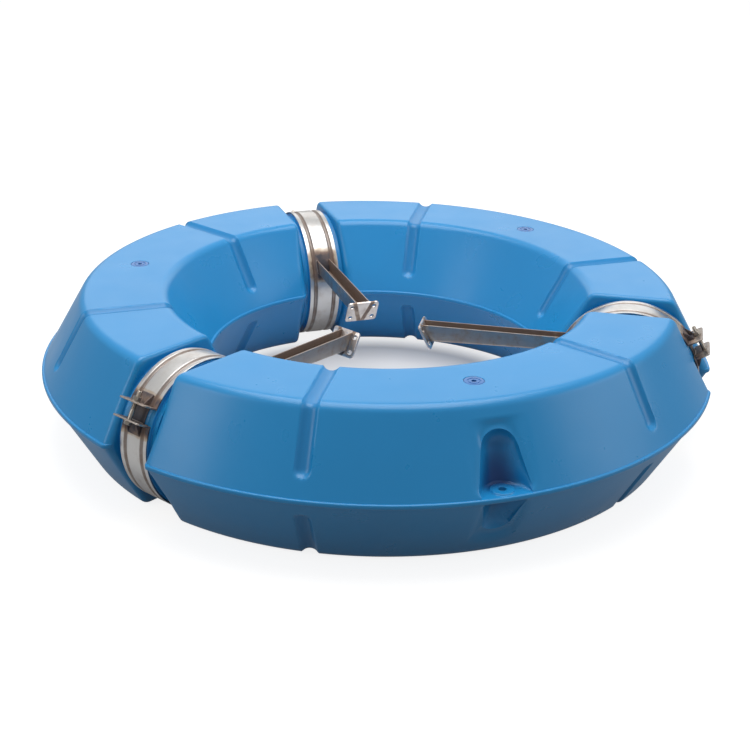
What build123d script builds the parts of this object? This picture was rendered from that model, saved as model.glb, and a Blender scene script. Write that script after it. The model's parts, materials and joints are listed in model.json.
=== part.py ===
"""Float ring of a pond surface aerator, in millimetres.

Three hollow plastic floats form a ring. A ribbed steel band clamps each pair of
float necks together, and each clamp carries an arm with a tilted plate, to which
the aerator's pump is bolted.

The ring lies on z = 0 with its axis on Z. Each float is drawn with its middle on
+X, and each clamp with its neck on +X, and then they are turned to their places.
"""

from build123d import *
import os
from math import asin, atan2, cos, degrees, hypot, radians, sin, sqrt, tan

# Ring
ring_radius = 650.0
ring_height = 280.0
section_radius = 489.0
station_count = 3
first_clamp_angle = 90.0

# Float section and mouldings
flat_width = 158.0
edge_round = 12.0
lip_thickness = 9.0
lip_stand = 4.5
lip_round = 2.0
float_gap = 90.0
end_round = 8.0
wall = 5.0
foam_clearance = 0.3

# Moulded cross grooves, two on top and two below on each float
groove_offset_angle = 30.0
groove_width = 30.0
groove_depth = 6.5
groove_reach = 0.72

# Mooring eye at the middle of each float
eye_radius_from_axis = 623.0
eye_hole_diameter = 13.0
eye_boss_diameter = 40.0
eye_boss_height = 2.5
recess_half_width = 45.0
recess_length = 112.0
recess_nose_radius = 30.0
lower_recess_share = 0.8

# Filler port and its screw plug
port_radius_from_axis = 487.0
port_seat_diameter = 36.0
port_seat_depth = 4.0
port_bore_diameter = 28.0
port_boss_wall = 4.0
port_boss_depth = 20.0
plug_flange_clearance = 0.5
plug_flange_thickness = 2.5
plug_shank_length = 13.0
plug_ring_diameter = 21.0
plug_ring_width = 2.0
plug_ring_depth = 0.8
plug_key_size = 8.0
plug_key_depth = 7.0
plug_end_chamfer = 1.0
plug_running_gap = 0.08
seal_thickness = 1.2
seal_edge_set_back = 0.5

# Band clamp
band_outer_radius = 137.0
band_width = 66.0
band_sheet = 2.0
band_flat_width = 32.0
band_rim_width = 8.0
band_rib_depth = 3.5
rib_floor_width = 3.0
neck_rib_clearance = 0.3
groove_side_clearance = 0.6
neck_split = 1.0
neck_root_step = 6.0
bridge_sheet = 1.2
bridge_clearance = 0.25
bridge_half_angle = 14.0
closure_angle = 30.0
lug_spacing = 29.0

# Closure lugs, bolt and nut
lug_thickness = 3.0
lug_height = 27.0
lug_corner = 6.0
lug_foot_length = 22.0
lug_foot_thickness = 2.5
gusset_spacing = 26.0
gusset_height = 12.0
weld_seat = 0.05
bolt_seat_height = 17.0
bolt_diameter = 8.0
bolt_hole_clearance = 0.5
bolt_length = 55.0
bolt_end_chamfer = 1.0
hex_width = 13.0
head_height = 5.3
nut_height = 6.8
washer_diameter = 16.0
washer_thickness = 1.6
thread_running_gap = 0.08
fastener_seat = 0.05

# Arm and mounting plate
arm_width = 30.0
arm_sheet = 2.5
arm_top_height = 208.0
arm_depth_at_plate = 33.0
arm_depth_at_clamp = 25.0
plate_top_radius = 85.0
plate_tilt = 27.0
plate_width = 65.0
plate_length = 52.0
plate_thickness = 4.0
plate_corner = 7.0
plate_hole_diameter = 9.0
plate_hole_spacing_across = 46.0
plate_hole_spacing_down = 30.0
plate_above_arm = 1.0

# Worked out from the sizes above
mid_height = ring_height / 2
station_angle = 360.0 / station_count
half_span = station_angle / 2
flat_half = flat_width / 2
ridge_outer = ring_radius - lip_stand
ridge_inner = 2 * section_radius - ridge_outer
slope_outer = (ridge_outer - section_radius - flat_half, mid_height - lip_thickness / 2)
band_inner_radius = band_outer_radius - band_sheet
neck_groove_radius = band_inner_radius - band_rib_depth - neck_rib_clearance
neck_radius = band_inner_radius - bridge_sheet - 2 * bridge_clearance
neck_root_radius = neck_radius - neck_root_step
port_boss_radius = port_seat_diameter / 2 + port_boss_wall
plug_flange_radius = port_seat_diameter / 2 - plug_flange_clearance
seal_outer_radius = plug_flange_radius - seal_edge_set_back
bolt_radius = band_outer_radius + bolt_seat_height
lug_half_angle = degrees(asin(lug_spacing / 2 / bolt_radius))

# Centre of a clamp's neck when the clamp is drawn on +X
neck_centre = (section_radius, 0, mid_height)
neck_axis = Axis(neck_centre, (0, 1, 0))


def section_outline(inset):
    """Corner points of the float's six-sided section, moved inwards by the inset."""
    slope_angle = atan2(slope_outer[0], slope_outer[1])
    top = mid_height - inset
    flat = flat_half + (slope_outer[0] / slope_outer[1]) * inset - inset / cos(slope_angle)
    corner = section_radius - ridge_inner - inset / cos(slope_angle)
    waist = lip_thickness / 2
    return [
        (section_radius + flat, mid_height + top),
        (section_radius + corner, mid_height + waist),
        (section_radius + corner, mid_height - waist),
        (section_radius + flat, mid_height - top),
        (section_radius - flat, mid_height - top),
        (section_radius - corner, mid_height - waist),
        (section_radius - corner, mid_height + waist),
        (section_radius - flat, mid_height + top),
    ]


def radial_plane(angle):
    """Plane through the ring's axis at an angle, with local x outwards and y up."""
    return Plane(origin=(0, 0, 0), x_dir=(cos(radians(angle)), sin(radians(angle)), 0),
                 z_dir=(sin(radians(angle)), -cos(radians(angle)), 0))


def neck_plane(side):
    """Plane at a float's end: origin on the neck's centre, local x out along the neck."""
    angle = radians(side * half_span)
    return Plane(origin=(section_radius * cos(angle), section_radius * sin(angle), mid_height),
                 x_dir=(-side * sin(angle), side * cos(angle), 0), z_dir=(0, 0, -side))


def clamp_plane(angle):
    """Plane through a clamp's neck axis: local x along the neck, y outwards at the angle."""
    turn = radians(angle)
    return Plane(origin=neck_centre, x_dir=(0, 1, 0), z_dir=(sin(turn), 0, -cos(turn)))


def rib_line(flat_radius, rib_radius):
    """Points across half a ribbed strip: flat middle, rib floor and outer rim."""
    flat_end = band_flat_width / 2
    rim_start = band_width / 2 - band_rim_width
    floor_start = (flat_end + rim_start - rib_floor_width) / 2
    floor_end = floor_start + rib_floor_width
    return [(flat_end, flat_radius), (floor_start, rib_radius),
            (floor_end, rib_radius), (rim_start, flat_radius)]


def groove_path(angle, top_side):
    """Centre line of the round cutter of one cross groove, and the cutter's radius."""
    radius = (groove_depth ** 2 + (groove_width / 2) ** 2) / (2 * groove_depth)
    outline = section_outline(groove_depth - radius)
    if top_side:
        corners = [outline[1], outline[0], outline[7], outline[6]]
    else:
        corners = [outline[2], outline[3], outline[4], outline[5]]
    outer_end = Vector(*corners[1]) + (Vector(*corners[0]) - Vector(*corners[1])) * groove_reach
    inner_end = Vector(*corners[2]) + (Vector(*corners[3]) - Vector(*corners[2])) * groove_reach
    points = [outer_end, Vector(*corners[1]), Vector(*corners[2]), inner_end]
    with BuildLine(radial_plane(angle)) as path:
        FilletPolyline(*[(point.X, point.Y) for point in points], radius=radius - groove_depth + edge_round)
    return path.line, radius


def groove_cutter(angle, top_side, growth):
    """Round-ended bar that leaves one cross groove; growth makes it stand out further."""
    line, radius = groove_path(angle, top_side)
    with BuildPart() as cutter:
        with BuildSketch(Plane(origin=line @ 0, x_dir=radial_plane(angle).z_dir, z_dir=line % 0)):
            Circle(radius + growth)
        sweep(path=line)
        with Locations(line @ 0, line @ 1):
            Sphere(radius + growth)
    return cutter.part


def recess_cutter(growth, lower):
    """Round-nosed cone that lies along the outer slope, above or below the lip."""
    share = lower_recess_share if lower else 1.0
    half_width = recess_half_width * share + growth
    length = recess_length * share + growth
    nose = recess_nose_radius * share + growth
    ball = length - nose
    lean = atan2(half_width, ball) - asin(nose / hypot(ball, half_width))
    run = Vector(-slope_outer[0], 0, slope_outer[1]).normalized()
    base_height = mid_height + lip_thickness / 2
    with BuildPart() as cutter:
        with BuildSketch(Plane(origin=(ridge_outer, 0, base_height), x_dir=run, z_dir=(0, 1, 0))):
            with BuildLine():
                rim = CenterArc((ball, 0), nose, start_angle=0, arc_size=90 - degrees(lean))
                Line(rim @ 1, (0, half_width))
                Line((0, half_width), (-half_width, half_width))
                Line((-half_width, half_width), (-half_width, 0))
                Line((-half_width, 0), rim @ 0)
            make_face()
        revolve(axis=Axis((ridge_outer, 0, base_height), run))
        split(bisect_by=Plane.XY.offset(base_height - growth), keep=Keep.TOP)
    if lower:
        return mirror(cutter.part, about=Plane.XY.offset(mid_height))
    return cutter.part


def float_body(inset, clearance):
    """Outer form of a float, or its hollow when the inset is the wall's thickness."""
    growth = inset + clearance
    cutters = [groove_cutter(side * groove_offset_angle, top_side, growth)
               for side in (-1, 1) for top_side in (True, False)]
    cutters += [recess_cutter(growth, lower) for lower in (False, True)]
    with BuildPart() as body:
        with BuildSketch(radial_plane(-half_span)) as section:
            with BuildLine():
                Polyline(*section_outline(inset + clearance), close=True)
            make_face()
            if inset == 0:
                with Locations((section_radius, mid_height)):
                    Rectangle(2 * (ring_radius - section_radius), lip_thickness)
                corners = section.vertices()
                flats = corners.group_by(Axis.Y)[0] + corners.group_by(Axis.Y)[-1]
                fillet(flats, edge_round)
                corners = section.vertices()
                lips = corners.group_by(Axis.X)[0] + corners.group_by(Axis.X)[-1]
                fillet(lips, lip_round)
        revolve(axis=Axis.Z, revolution_arc=station_angle)
        for side in (-1, 1):
            end = neck_plane(side)
            end_point = end.origin - end.x_dir * (float_gap / 2 + inset + clearance)
            split(bisect_by=Plane(origin=end_point, z_dir=end.x_dir), keep=Keep.BOTTOM)
        if inset == 0:
            ends = body.faces().filter_by(GeomType.PLANE).group_by(SortBy.AREA)[-1]
            fillet(ends.edges(), end_round)
        for side in (-1, 1):
            neck = neck_plane(side)
            with BuildSketch(neck):
                with BuildLine():
                    Polyline(*neck_outline(inset, clearance), close=True)
                make_face()
            revolve(axis=Axis(neck.origin, neck.x_dir))
        for cutter in cutters:
            add(cutter, mode=Mode.SUBTRACT)
    return body.part


def neck_outline(inset, clearance):
    """Half section of a neck along its axis, as a plain cylinder where it is the hollow."""
    if inset > 0:
        radius = neck_root_radius - inset - clearance
        start = -float_gap / 2 - inset - wall
        end = -neck_split / 2 - inset - clearance
        return [(start, 0), (start, radius), (end, radius), (end, 0)]
    rib = rib_line(neck_radius, neck_groove_radius)
    groove = [(-x - groove_side_clearance, radius) for x, radius in rib[2:]]
    groove.reverse()
    groove += [(-x + groove_side_clearance, radius) for x, radius in reversed(rib[:2])]
    start = -float_gap / 2 - wall
    return [(start, 0), (start, neck_root_radius), (-band_width / 2, neck_root_radius),
            (-band_width / 2, neck_radius), *groove, (-neck_split / 2, neck_radius), (-neck_split / 2, 0)]


port_plane = Plane.XY.offset(ring_height)
port_place = Location((port_radius_from_axis, 0, ring_height))
downwards = (Align.CENTER, Align.CENTER, Align.MAX)
upwards = (Align.CENTER, Align.CENTER, Align.MIN)

outer_form = float_body(0, 0)
inner_form = float_body(wall, 0)
foam_form = float_body(wall, foam_clearance)

with BuildPart() as hollow:
    add(inner_form)
    with Locations(port_place):
        Cylinder(port_boss_radius, port_boss_depth, align=downwards, mode=Mode.SUBTRACT)

with BuildPart() as float_shell:
    add(outer_form)
    with Locations((eye_radius_from_axis, 0, mid_height)):
        Cylinder(eye_boss_diameter / 2, lip_thickness / 2 + eye_boss_height, align=upwards)
    with Locations((eye_radius_from_axis, 0, mid_height)):
        Cylinder(eye_hole_diameter / 2, ring_height / 2, mode=Mode.SUBTRACT)
    add(hollow.part, mode=Mode.SUBTRACT)
    with Locations(port_place):
        Cylinder(port_seat_diameter / 2, port_seat_depth, align=downwards, mode=Mode.SUBTRACT)
        Cylinder(port_bore_diameter / 2, port_boss_depth + foam_clearance,
                 align=downwards, mode=Mode.SUBTRACT)

with BuildPart() as float_foam:
    add(foam_form)
    with Locations(port_place):
        Cylinder(port_boss_radius + foam_clearance, port_boss_depth + foam_clearance,
                 align=downwards, mode=Mode.SUBTRACT)

seal_bottom = -port_seat_depth
plug_bottom = seal_bottom + seal_thickness + fastener_seat

with BuildPart() as plug_seal:
    with BuildSketch(port_plane.offset(seal_bottom)):
        with Locations((port_radius_from_axis, 0)):
            Circle(seal_outer_radius)
            Circle(port_bore_diameter / 2 + plug_running_gap, mode=Mode.SUBTRACT)
    extrude(amount=seal_thickness)

with BuildPart() as filler_plug:
    with BuildSketch(port_plane.offset(plug_bottom)):
        with Locations((port_radius_from_axis, 0)):
            Circle(plug_flange_radius)
    extrude(amount=plug_flange_thickness)
    fillet(filler_plug.edges().group_by(Axis.Z)[-1], plug_ring_depth)
    with BuildSketch(port_plane.offset(plug_bottom)):
        with Locations((port_radius_from_axis, 0)):
            Circle(port_bore_diameter / 2 - plug_running_gap)
    extrude(amount=-plug_shank_length)
    chamfer(filler_plug.edges().group_by(Axis.Z)[0], plug_end_chamfer)
    with BuildSketch(port_plane.offset(plug_bottom + plug_flange_thickness)):
        with Locations((port_radius_from_axis, 0)):
            Circle((plug_ring_diameter + plug_ring_width) / 2)
            Circle((plug_ring_diameter - plug_ring_width) / 2, mode=Mode.SUBTRACT)
    extrude(amount=-plug_ring_depth, mode=Mode.SUBTRACT)
    with BuildSketch(port_plane.offset(plug_bottom + plug_flange_thickness)):
        with Locations((port_radius_from_axis, 0)):
            RegularPolygon(plug_key_size / 2, 6, major_radius=False)
    extrude(amount=-plug_key_depth, mode=Mode.SUBTRACT)

rim_points = rib_line(band_outer_radius, band_outer_radius - band_rib_depth)
rim_end = (band_width / 2, band_outer_radius)
outer_points = [(-x, r) for x, r in reversed(rim_points + [rim_end])] + rim_points + [rim_end]
inner_points = [(x, r - band_sheet) for x, r in reversed(outer_points)]
band_half_gap = degrees(asin(lug_spacing / 2 / band_outer_radius))

with BuildPart() as clamp_band:
    with BuildSketch(clamp_plane(closure_angle - band_half_gap)):
        with BuildLine():
            Polyline(*outer_points, *inner_points, close=True)
        make_face()
    revolve(axis=neck_axis, revolution_arc=360 - 2 * band_half_gap)

with BuildPart() as gap_bridge:
    with BuildSketch(clamp_plane(closure_angle + bridge_half_angle)):
        with Locations((0, neck_radius + bridge_clearance + bridge_sheet / 2)):
            Rectangle(band_flat_width - 2 * bridge_clearance, bridge_sheet)
    revolve(axis=neck_axis, revolution_arc=2 * bridge_half_angle)

closure = clamp_plane(closure_angle)
bolt_line = Plane(origin=closure.origin + closure.y_dir * bolt_radius,
                  x_dir=closure.x_dir, z_dir=closure.z_dir)
lug_face = lug_spacing / 2
lug_foot_radius = band_outer_radius + weld_seat


def closure_lug(side):
    """Welded ear: an upright across the band, with a foot and two gussets behind it."""
    face = closure.offset(side * lug_face)
    side_plane = Plane(origin=closure.origin, x_dir=closure.z_dir * side, z_dir=closure.x_dir * -side)
    foot_top = lug_foot_radius + lug_foot_thickness
    clear_top = lug_foot_radius + lug_height
    start = lug_face + lug_thickness
    end = lug_face + lug_foot_length
    start_height = sqrt(foot_top ** 2 - start ** 2)
    end_height = sqrt(foot_top ** 2 - end ** 2)
    with BuildPart() as lug:
        with BuildSketch(face):
            with Locations((0, band_outer_radius)):
                Rectangle(band_width, 2 * lug_height)
        extrude(amount=side * lug_thickness)
        upright_edges = lug.edges().filter_by(Axis(neck_centre, closure.z_dir))
        fillet(upright_edges.group_by(Axis(neck_centre, closure.y_dir))[-1], lug_corner)
        with BuildSketch(side_plane):
            with BuildLine():
                gusset_top = lug_foot_radius + gusset_height
                Polyline((lug_face, 0), (lug_face, gusset_top), (start, gusset_top),
                         (end, lug_foot_radius), (end, 0), close=True)
            make_face()
        extrude(amount=gusset_spacing / 2 + lug_foot_thickness / 2, both=True)
        with BuildSketch(side_plane):
            with BuildLine():
                Line((start, clear_top), (start, start_height))
                RadiusArc((start, start_height), (end, end_height), foot_top)
                Line((end, end_height), (end, clear_top))
                Line((end, clear_top), (start, clear_top))
            make_face()
        extrude(amount=gusset_spacing / 2 - lug_foot_thickness / 2, both=True, mode=Mode.SUBTRACT)
        with Locations(Location(Plane(origin=neck_centre, x_dir=(1, 0, 0), z_dir=(0, 1, 0)))):
            Cylinder(lug_foot_radius, band_width + 2 * band_sheet, mode=Mode.SUBTRACT)
        with Locations(Location(bolt_line)):
            Cylinder(bolt_diameter / 2 + bolt_hole_clearance, 2 * lug_spacing, mode=Mode.SUBTRACT)
    return lug.part


washer_start = lug_face + lug_thickness + fastener_seat
bearing = washer_start + washer_thickness + fastener_seat

with BuildPart() as clamp_bolt:
    with BuildSketch(bolt_line.offset(bearing)):
        RegularPolygon(hex_width / 2, 6, major_radius=False)
    extrude(amount=head_height)
    with BuildSketch(bolt_line.offset(bearing)):
        Circle(bolt_diameter / 2)
    extrude(amount=-bolt_length)
    tip = clamp_bolt.faces().sort_by(Axis(bolt_line.origin, bolt_line.z_dir))[0]
    chamfer(tip.edges(), bolt_end_chamfer)

with BuildPart() as clamp_nut:
    with BuildSketch(bolt_line.offset(-bearing)):
        RegularPolygon(hex_width / 2, 6, major_radius=False)
        Circle(bolt_diameter / 2 + thread_running_gap, mode=Mode.SUBTRACT)
    extrude(amount=-nut_height)

with BuildPart() as clamp_washers:
    for start, height in ((washer_start, washer_thickness), (-washer_start, -washer_thickness)):
        with BuildSketch(bolt_line.offset(start)):
            Circle(washer_diameter / 2)
            Circle(bolt_diameter / 2 + thread_running_gap, mode=Mode.SUBTRACT)
        extrude(amount=height)

tilt = radians(plate_tilt)
plate_top = arm_top_height + plate_above_arm
plate_plane = Plane(origin=(plate_top_radius + plate_length / 2 * sin(tilt), 0,
                            plate_top - plate_length / 2 * cos(tilt)),
                    x_dir=(0, 1, 0), z_dir=(cos(tilt), 0, sin(tilt)))

with BuildPart() as mounting_plate:
    with BuildSketch(plate_plane):
        RectangleRounded(plate_width, plate_length, plate_corner)
        with GridLocations(plate_hole_spacing_across, plate_hole_spacing_down, 2, 2):
            Circle(plate_hole_diameter / 2, mode=Mode.SUBTRACT)
    extrude(amount=plate_thickness)


def plate_back(height):
    """Distance from the ring's axis to the back of the plate at a height."""
    return plate_top_radius + plate_thickness / cos(tilt) + (plate_top - height) * tan(tilt)


arm_low_at_plate = arm_top_height - arm_depth_at_plate
arm_low_at_clamp = arm_top_height - arm_depth_at_clamp


def arm_side(lift):
    """Side outline of the arm, run on into the clamp; lift raises its lower edge."""
    return [(plate_back(arm_top_height + lift), arm_top_height + lift),
            (plate_back(arm_low_at_plate + lift), arm_low_at_plate + lift),
            (section_radius, arm_low_at_clamp + lift), (section_radius, arm_top_height + lift)]


with BuildPart() as arm_channel:
    with BuildSketch(Plane.XZ):
        with BuildLine():
            Polyline(*arm_side(0), close=True)
        make_face()
    extrude(amount=arm_width / 2, both=True)
    with BuildSketch(Plane.XZ):
        with BuildLine():
            Polyline(*arm_side(arm_sheet), close=True)
        make_face()
    extrude(amount=arm_width / 2 - arm_sheet, both=True, mode=Mode.SUBTRACT)
    with Locations(Location(Plane(origin=neck_centre, x_dir=(1, 0, 0), z_dir=(0, 1, 0)))):
        Cylinder(band_outer_radius + weld_seat, 2 * band_width, mode=Mode.SUBTRACT)

os.makedirs("parts", exist_ok=True)


def write_at(piece, name, angle):
    """Turn a piece about the ring's axis to its place, name it and write it."""
    placed = piece.rotate(Axis.Z, angle)
    placed.label = name
    export_step(placed, f"parts/{name}.step")


upper_lug = closure_lug(-1)
lower_lug = closure_lug(1)
for station in range(station_count):
    clamp_angle = first_clamp_angle + station * station_angle
    float_angle = clamp_angle + half_span
    number = station + 1
    write_at(float_shell.part, f"float_shell_{number}", float_angle)
    write_at(float_foam.part, f"float_foam_{number}", float_angle)
    write_at(plug_seal.part, f"plug_seal_{number}", float_angle)
    write_at(filler_plug.part, f"filler_plug_{number}", float_angle)
    write_at(clamp_band.part, f"clamp_band_{number}", clamp_angle)
    write_at(gap_bridge.part, f"gap_bridge_{number}", clamp_angle)
    write_at(upper_lug, f"upper_lug_{number}", clamp_angle)
    write_at(lower_lug, f"lower_lug_{number}", clamp_angle)
    write_at(clamp_bolt.part, f"clamp_bolt_{number}", clamp_angle)
    write_at(clamp_nut.part, f"clamp_nut_{number}", clamp_angle)
    write_at(clamp_washers.part, f"clamp_washers_{number}", clamp_angle)
    write_at(arm_channel.part, f"arm_channel_{number}", clamp_angle)
    write_at(mounting_plate.part, f"mounting_plate_{number}", clamp_angle)
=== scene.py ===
"""Looks of the float ring of a pond surface aerator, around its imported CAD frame.

Three moulded plastic floats, three ribbed steel clamps with bolted closures, and
three channel arms with tilted plates. Lengths are in metres, in the frame's axes.
"""

import json
import logging
import math
from dataclasses import dataclass
from enum import Enum

import bmesh
import bpy
import numpy as np
from mathutils import Matrix, Vector
from mathutils.geometry import tessellate_polygon


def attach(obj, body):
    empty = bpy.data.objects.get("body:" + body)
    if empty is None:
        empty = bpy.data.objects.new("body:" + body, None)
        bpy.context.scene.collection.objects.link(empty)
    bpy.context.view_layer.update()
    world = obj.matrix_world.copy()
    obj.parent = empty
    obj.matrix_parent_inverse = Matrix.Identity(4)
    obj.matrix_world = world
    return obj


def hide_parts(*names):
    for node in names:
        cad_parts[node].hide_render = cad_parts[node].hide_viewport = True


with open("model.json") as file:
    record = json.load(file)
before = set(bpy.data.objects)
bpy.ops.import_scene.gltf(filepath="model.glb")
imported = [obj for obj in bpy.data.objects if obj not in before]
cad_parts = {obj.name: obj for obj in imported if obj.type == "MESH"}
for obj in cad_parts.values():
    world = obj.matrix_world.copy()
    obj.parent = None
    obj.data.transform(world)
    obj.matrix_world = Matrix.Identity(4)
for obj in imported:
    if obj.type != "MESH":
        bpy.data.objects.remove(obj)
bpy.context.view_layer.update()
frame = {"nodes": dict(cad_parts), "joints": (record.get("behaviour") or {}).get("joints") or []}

Array = np.ndarray
Rows = list[tuple[Array | float, Array | float]]  # radius and height, for add_turned
LOG = logging.getLogger("float_ring")
STATIONS = (1, 2, 3)
MERGE_DISTANCE = 2e-6
THIN_EDGE = 5e-7
SHARP_ANGLE = math.radians(38)
QUARTER = np.pi / 2
FULL = 2 * np.pi
UP = np.array([0.0, 0.0, 1.0])
WHITE = (1.0, 1.0, 1.0, 1)
HAIR = 1e-6  # a length that counts as nothing


class Attribute(Enum):
    """Vertex attributes that the finishes read."""

    # Weld tint near the welds, and at full strength over the bridge as painted shade of the clamp's
    # gap.
    WELD_TINT = "weld_tint_and_shade"
    # Painted shade: darkening in the floats' recesses and grooves, in the bands' ribs and low on
    # the bands, and inside the arms' channels.
    GRIME = "painted_shade"


class Slot(Enum):
    """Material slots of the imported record."""

    FLOAT = "float_plastic"
    PLUG = "plug_plastic"
    BAND = "band_steel"
    ARM = "arm_steel"
    FASTENER = "fastener_steel"


def unit(vectors: Array) -> Array:
    """Each vector along the last axis at length one."""
    return vectors / np.linalg.norm(vectors, axis=-1, keepdims=True)


def joint(name: str) -> tuple[Array, Array]:
    """Position of the frame's joint of that name, and its axis at length one."""
    entry = next(entry for entry in frame["joints"] if entry["name"] == name)
    return np.array(entry["pos_m"], float), unit(np.array(entry["axis"], float))


def rays(angle: Array) -> Array:
    """Directions in a plane: the cosine and the sine of each angle, on a new last axis."""
    return np.stack([np.cos(angle), np.sin(angle)], axis=-1)


def circle(count: int) -> Array:
    """Angles that lie evenly round a circle."""
    return np.linspace(0, FULL, count, endpoint=False)


def lengths_along(line: Array) -> Array:
    """How far each point of a line lies from its start, measured along the line."""
    return np.concatenate([[0], np.cumsum(np.linalg.norm(np.diff(line, axis=0), axis=1))])


def soft_positive(value: Array, knee: float) -> Array:
    """Positive part of a value with a rounded knee.

    Nothing below minus the knee, the value itself above the knee, and the
    parabola (value + knee) squared over four knees between them.

    Args:
        value: signed values.
        knee: half width of the rounded stretch.

    Returns:
        Values that are nowhere negative.
    """
    parabola = (value + knee) ** 2 / (4 * knee)
    return np.where(value > knee, value, np.where(value < -knee, 0.0, parabola))


def smooth_step(value: Array) -> Array:
    """The cubic 3t^2 - 2t^3 of the value held between 0 and 1."""
    held = np.clip(value, 0.0, 1.0)
    return held * held * (3 - 2 * held)


def turned(points: Array, angle: float) -> Array:
    """Points, whose last axis is x, y, z, turned about the ring's axis by an angle in radians."""
    cosine, sine = math.cos(angle), math.sin(angle)
    return points @ np.array([[cosine, sine, 0], [-sine, cosine, 0], [0, 0, 1]])


def rounded_loop(corners: Array, cuts: Array, steps: int = 4) -> Array:
    """A closed polygon whose corners are replaced by parabolic bends.

    Each bend is the quadratic curve from a point one cut before the corner to a
    point one cut after it, with the corner as its control point.

    Args:
        corners: corner points, one row each.
        cuts: cut length at each corner.
        steps: segments in a bend.

    Returns:
        The points of the rounded line.
    """
    cut = np.asarray(cuts, float)[:, None]
    start = corners + unit(np.roll(corners, 1, axis=0) - corners) * cut
    end = corners + unit(np.roll(corners, -1, axis=0) - corners) * cut
    share = np.linspace(0, 1, steps + 1)[None, :, None]
    bends = ((1 - share) ** 2 * start[:, None] + 2 * share * (1 - share) * corners[:, None]
             + share**2 * end[:, None])
    return bends.reshape(-1, corners.shape[1])


def rounded_box(half_width: float, low: float, high: float, cuts: Array, steps: int) -> Array:
    """A box even about the upright axis, rounded counter-clockwise from its lower left corner."""
    corners = np.array([[-half_width, low], [half_width, low],
                        [half_width, high], [-half_width, high]])
    return rounded_loop(corners, cuts, steps)


def offset_loop(loop: Array, distance: float) -> Array:
    """A closed loop moved to its left by a distance, with mitred corners.

    At each point the shift is the sum of the two edge normals over one plus their
    dot product, times the distance.

    Args:
        loop: points of the closed loop, one row each.
        distance: shift to the left of the loop's direction.

    Returns:
        The moved loop.
    """
    edge = unit(np.roll(loop, -1, axis=0) - loop)
    normal = np.stack([-edge[:, 1], edge[:, 0]], axis=1)
    previous = np.roll(normal, 1, axis=0)
    return loop + distance * (normal + previous) / (1 + (normal * previous).sum(1, keepdims=True))


def hole_loop(centre: tuple[float, float], radius: float, count: int = 32) -> Array:
    """Points of a circle in a plane, clockwise, as the edge of a hole runs."""
    return (np.array(centre) + radius * rays(circle(count)))[::-1]


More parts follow.
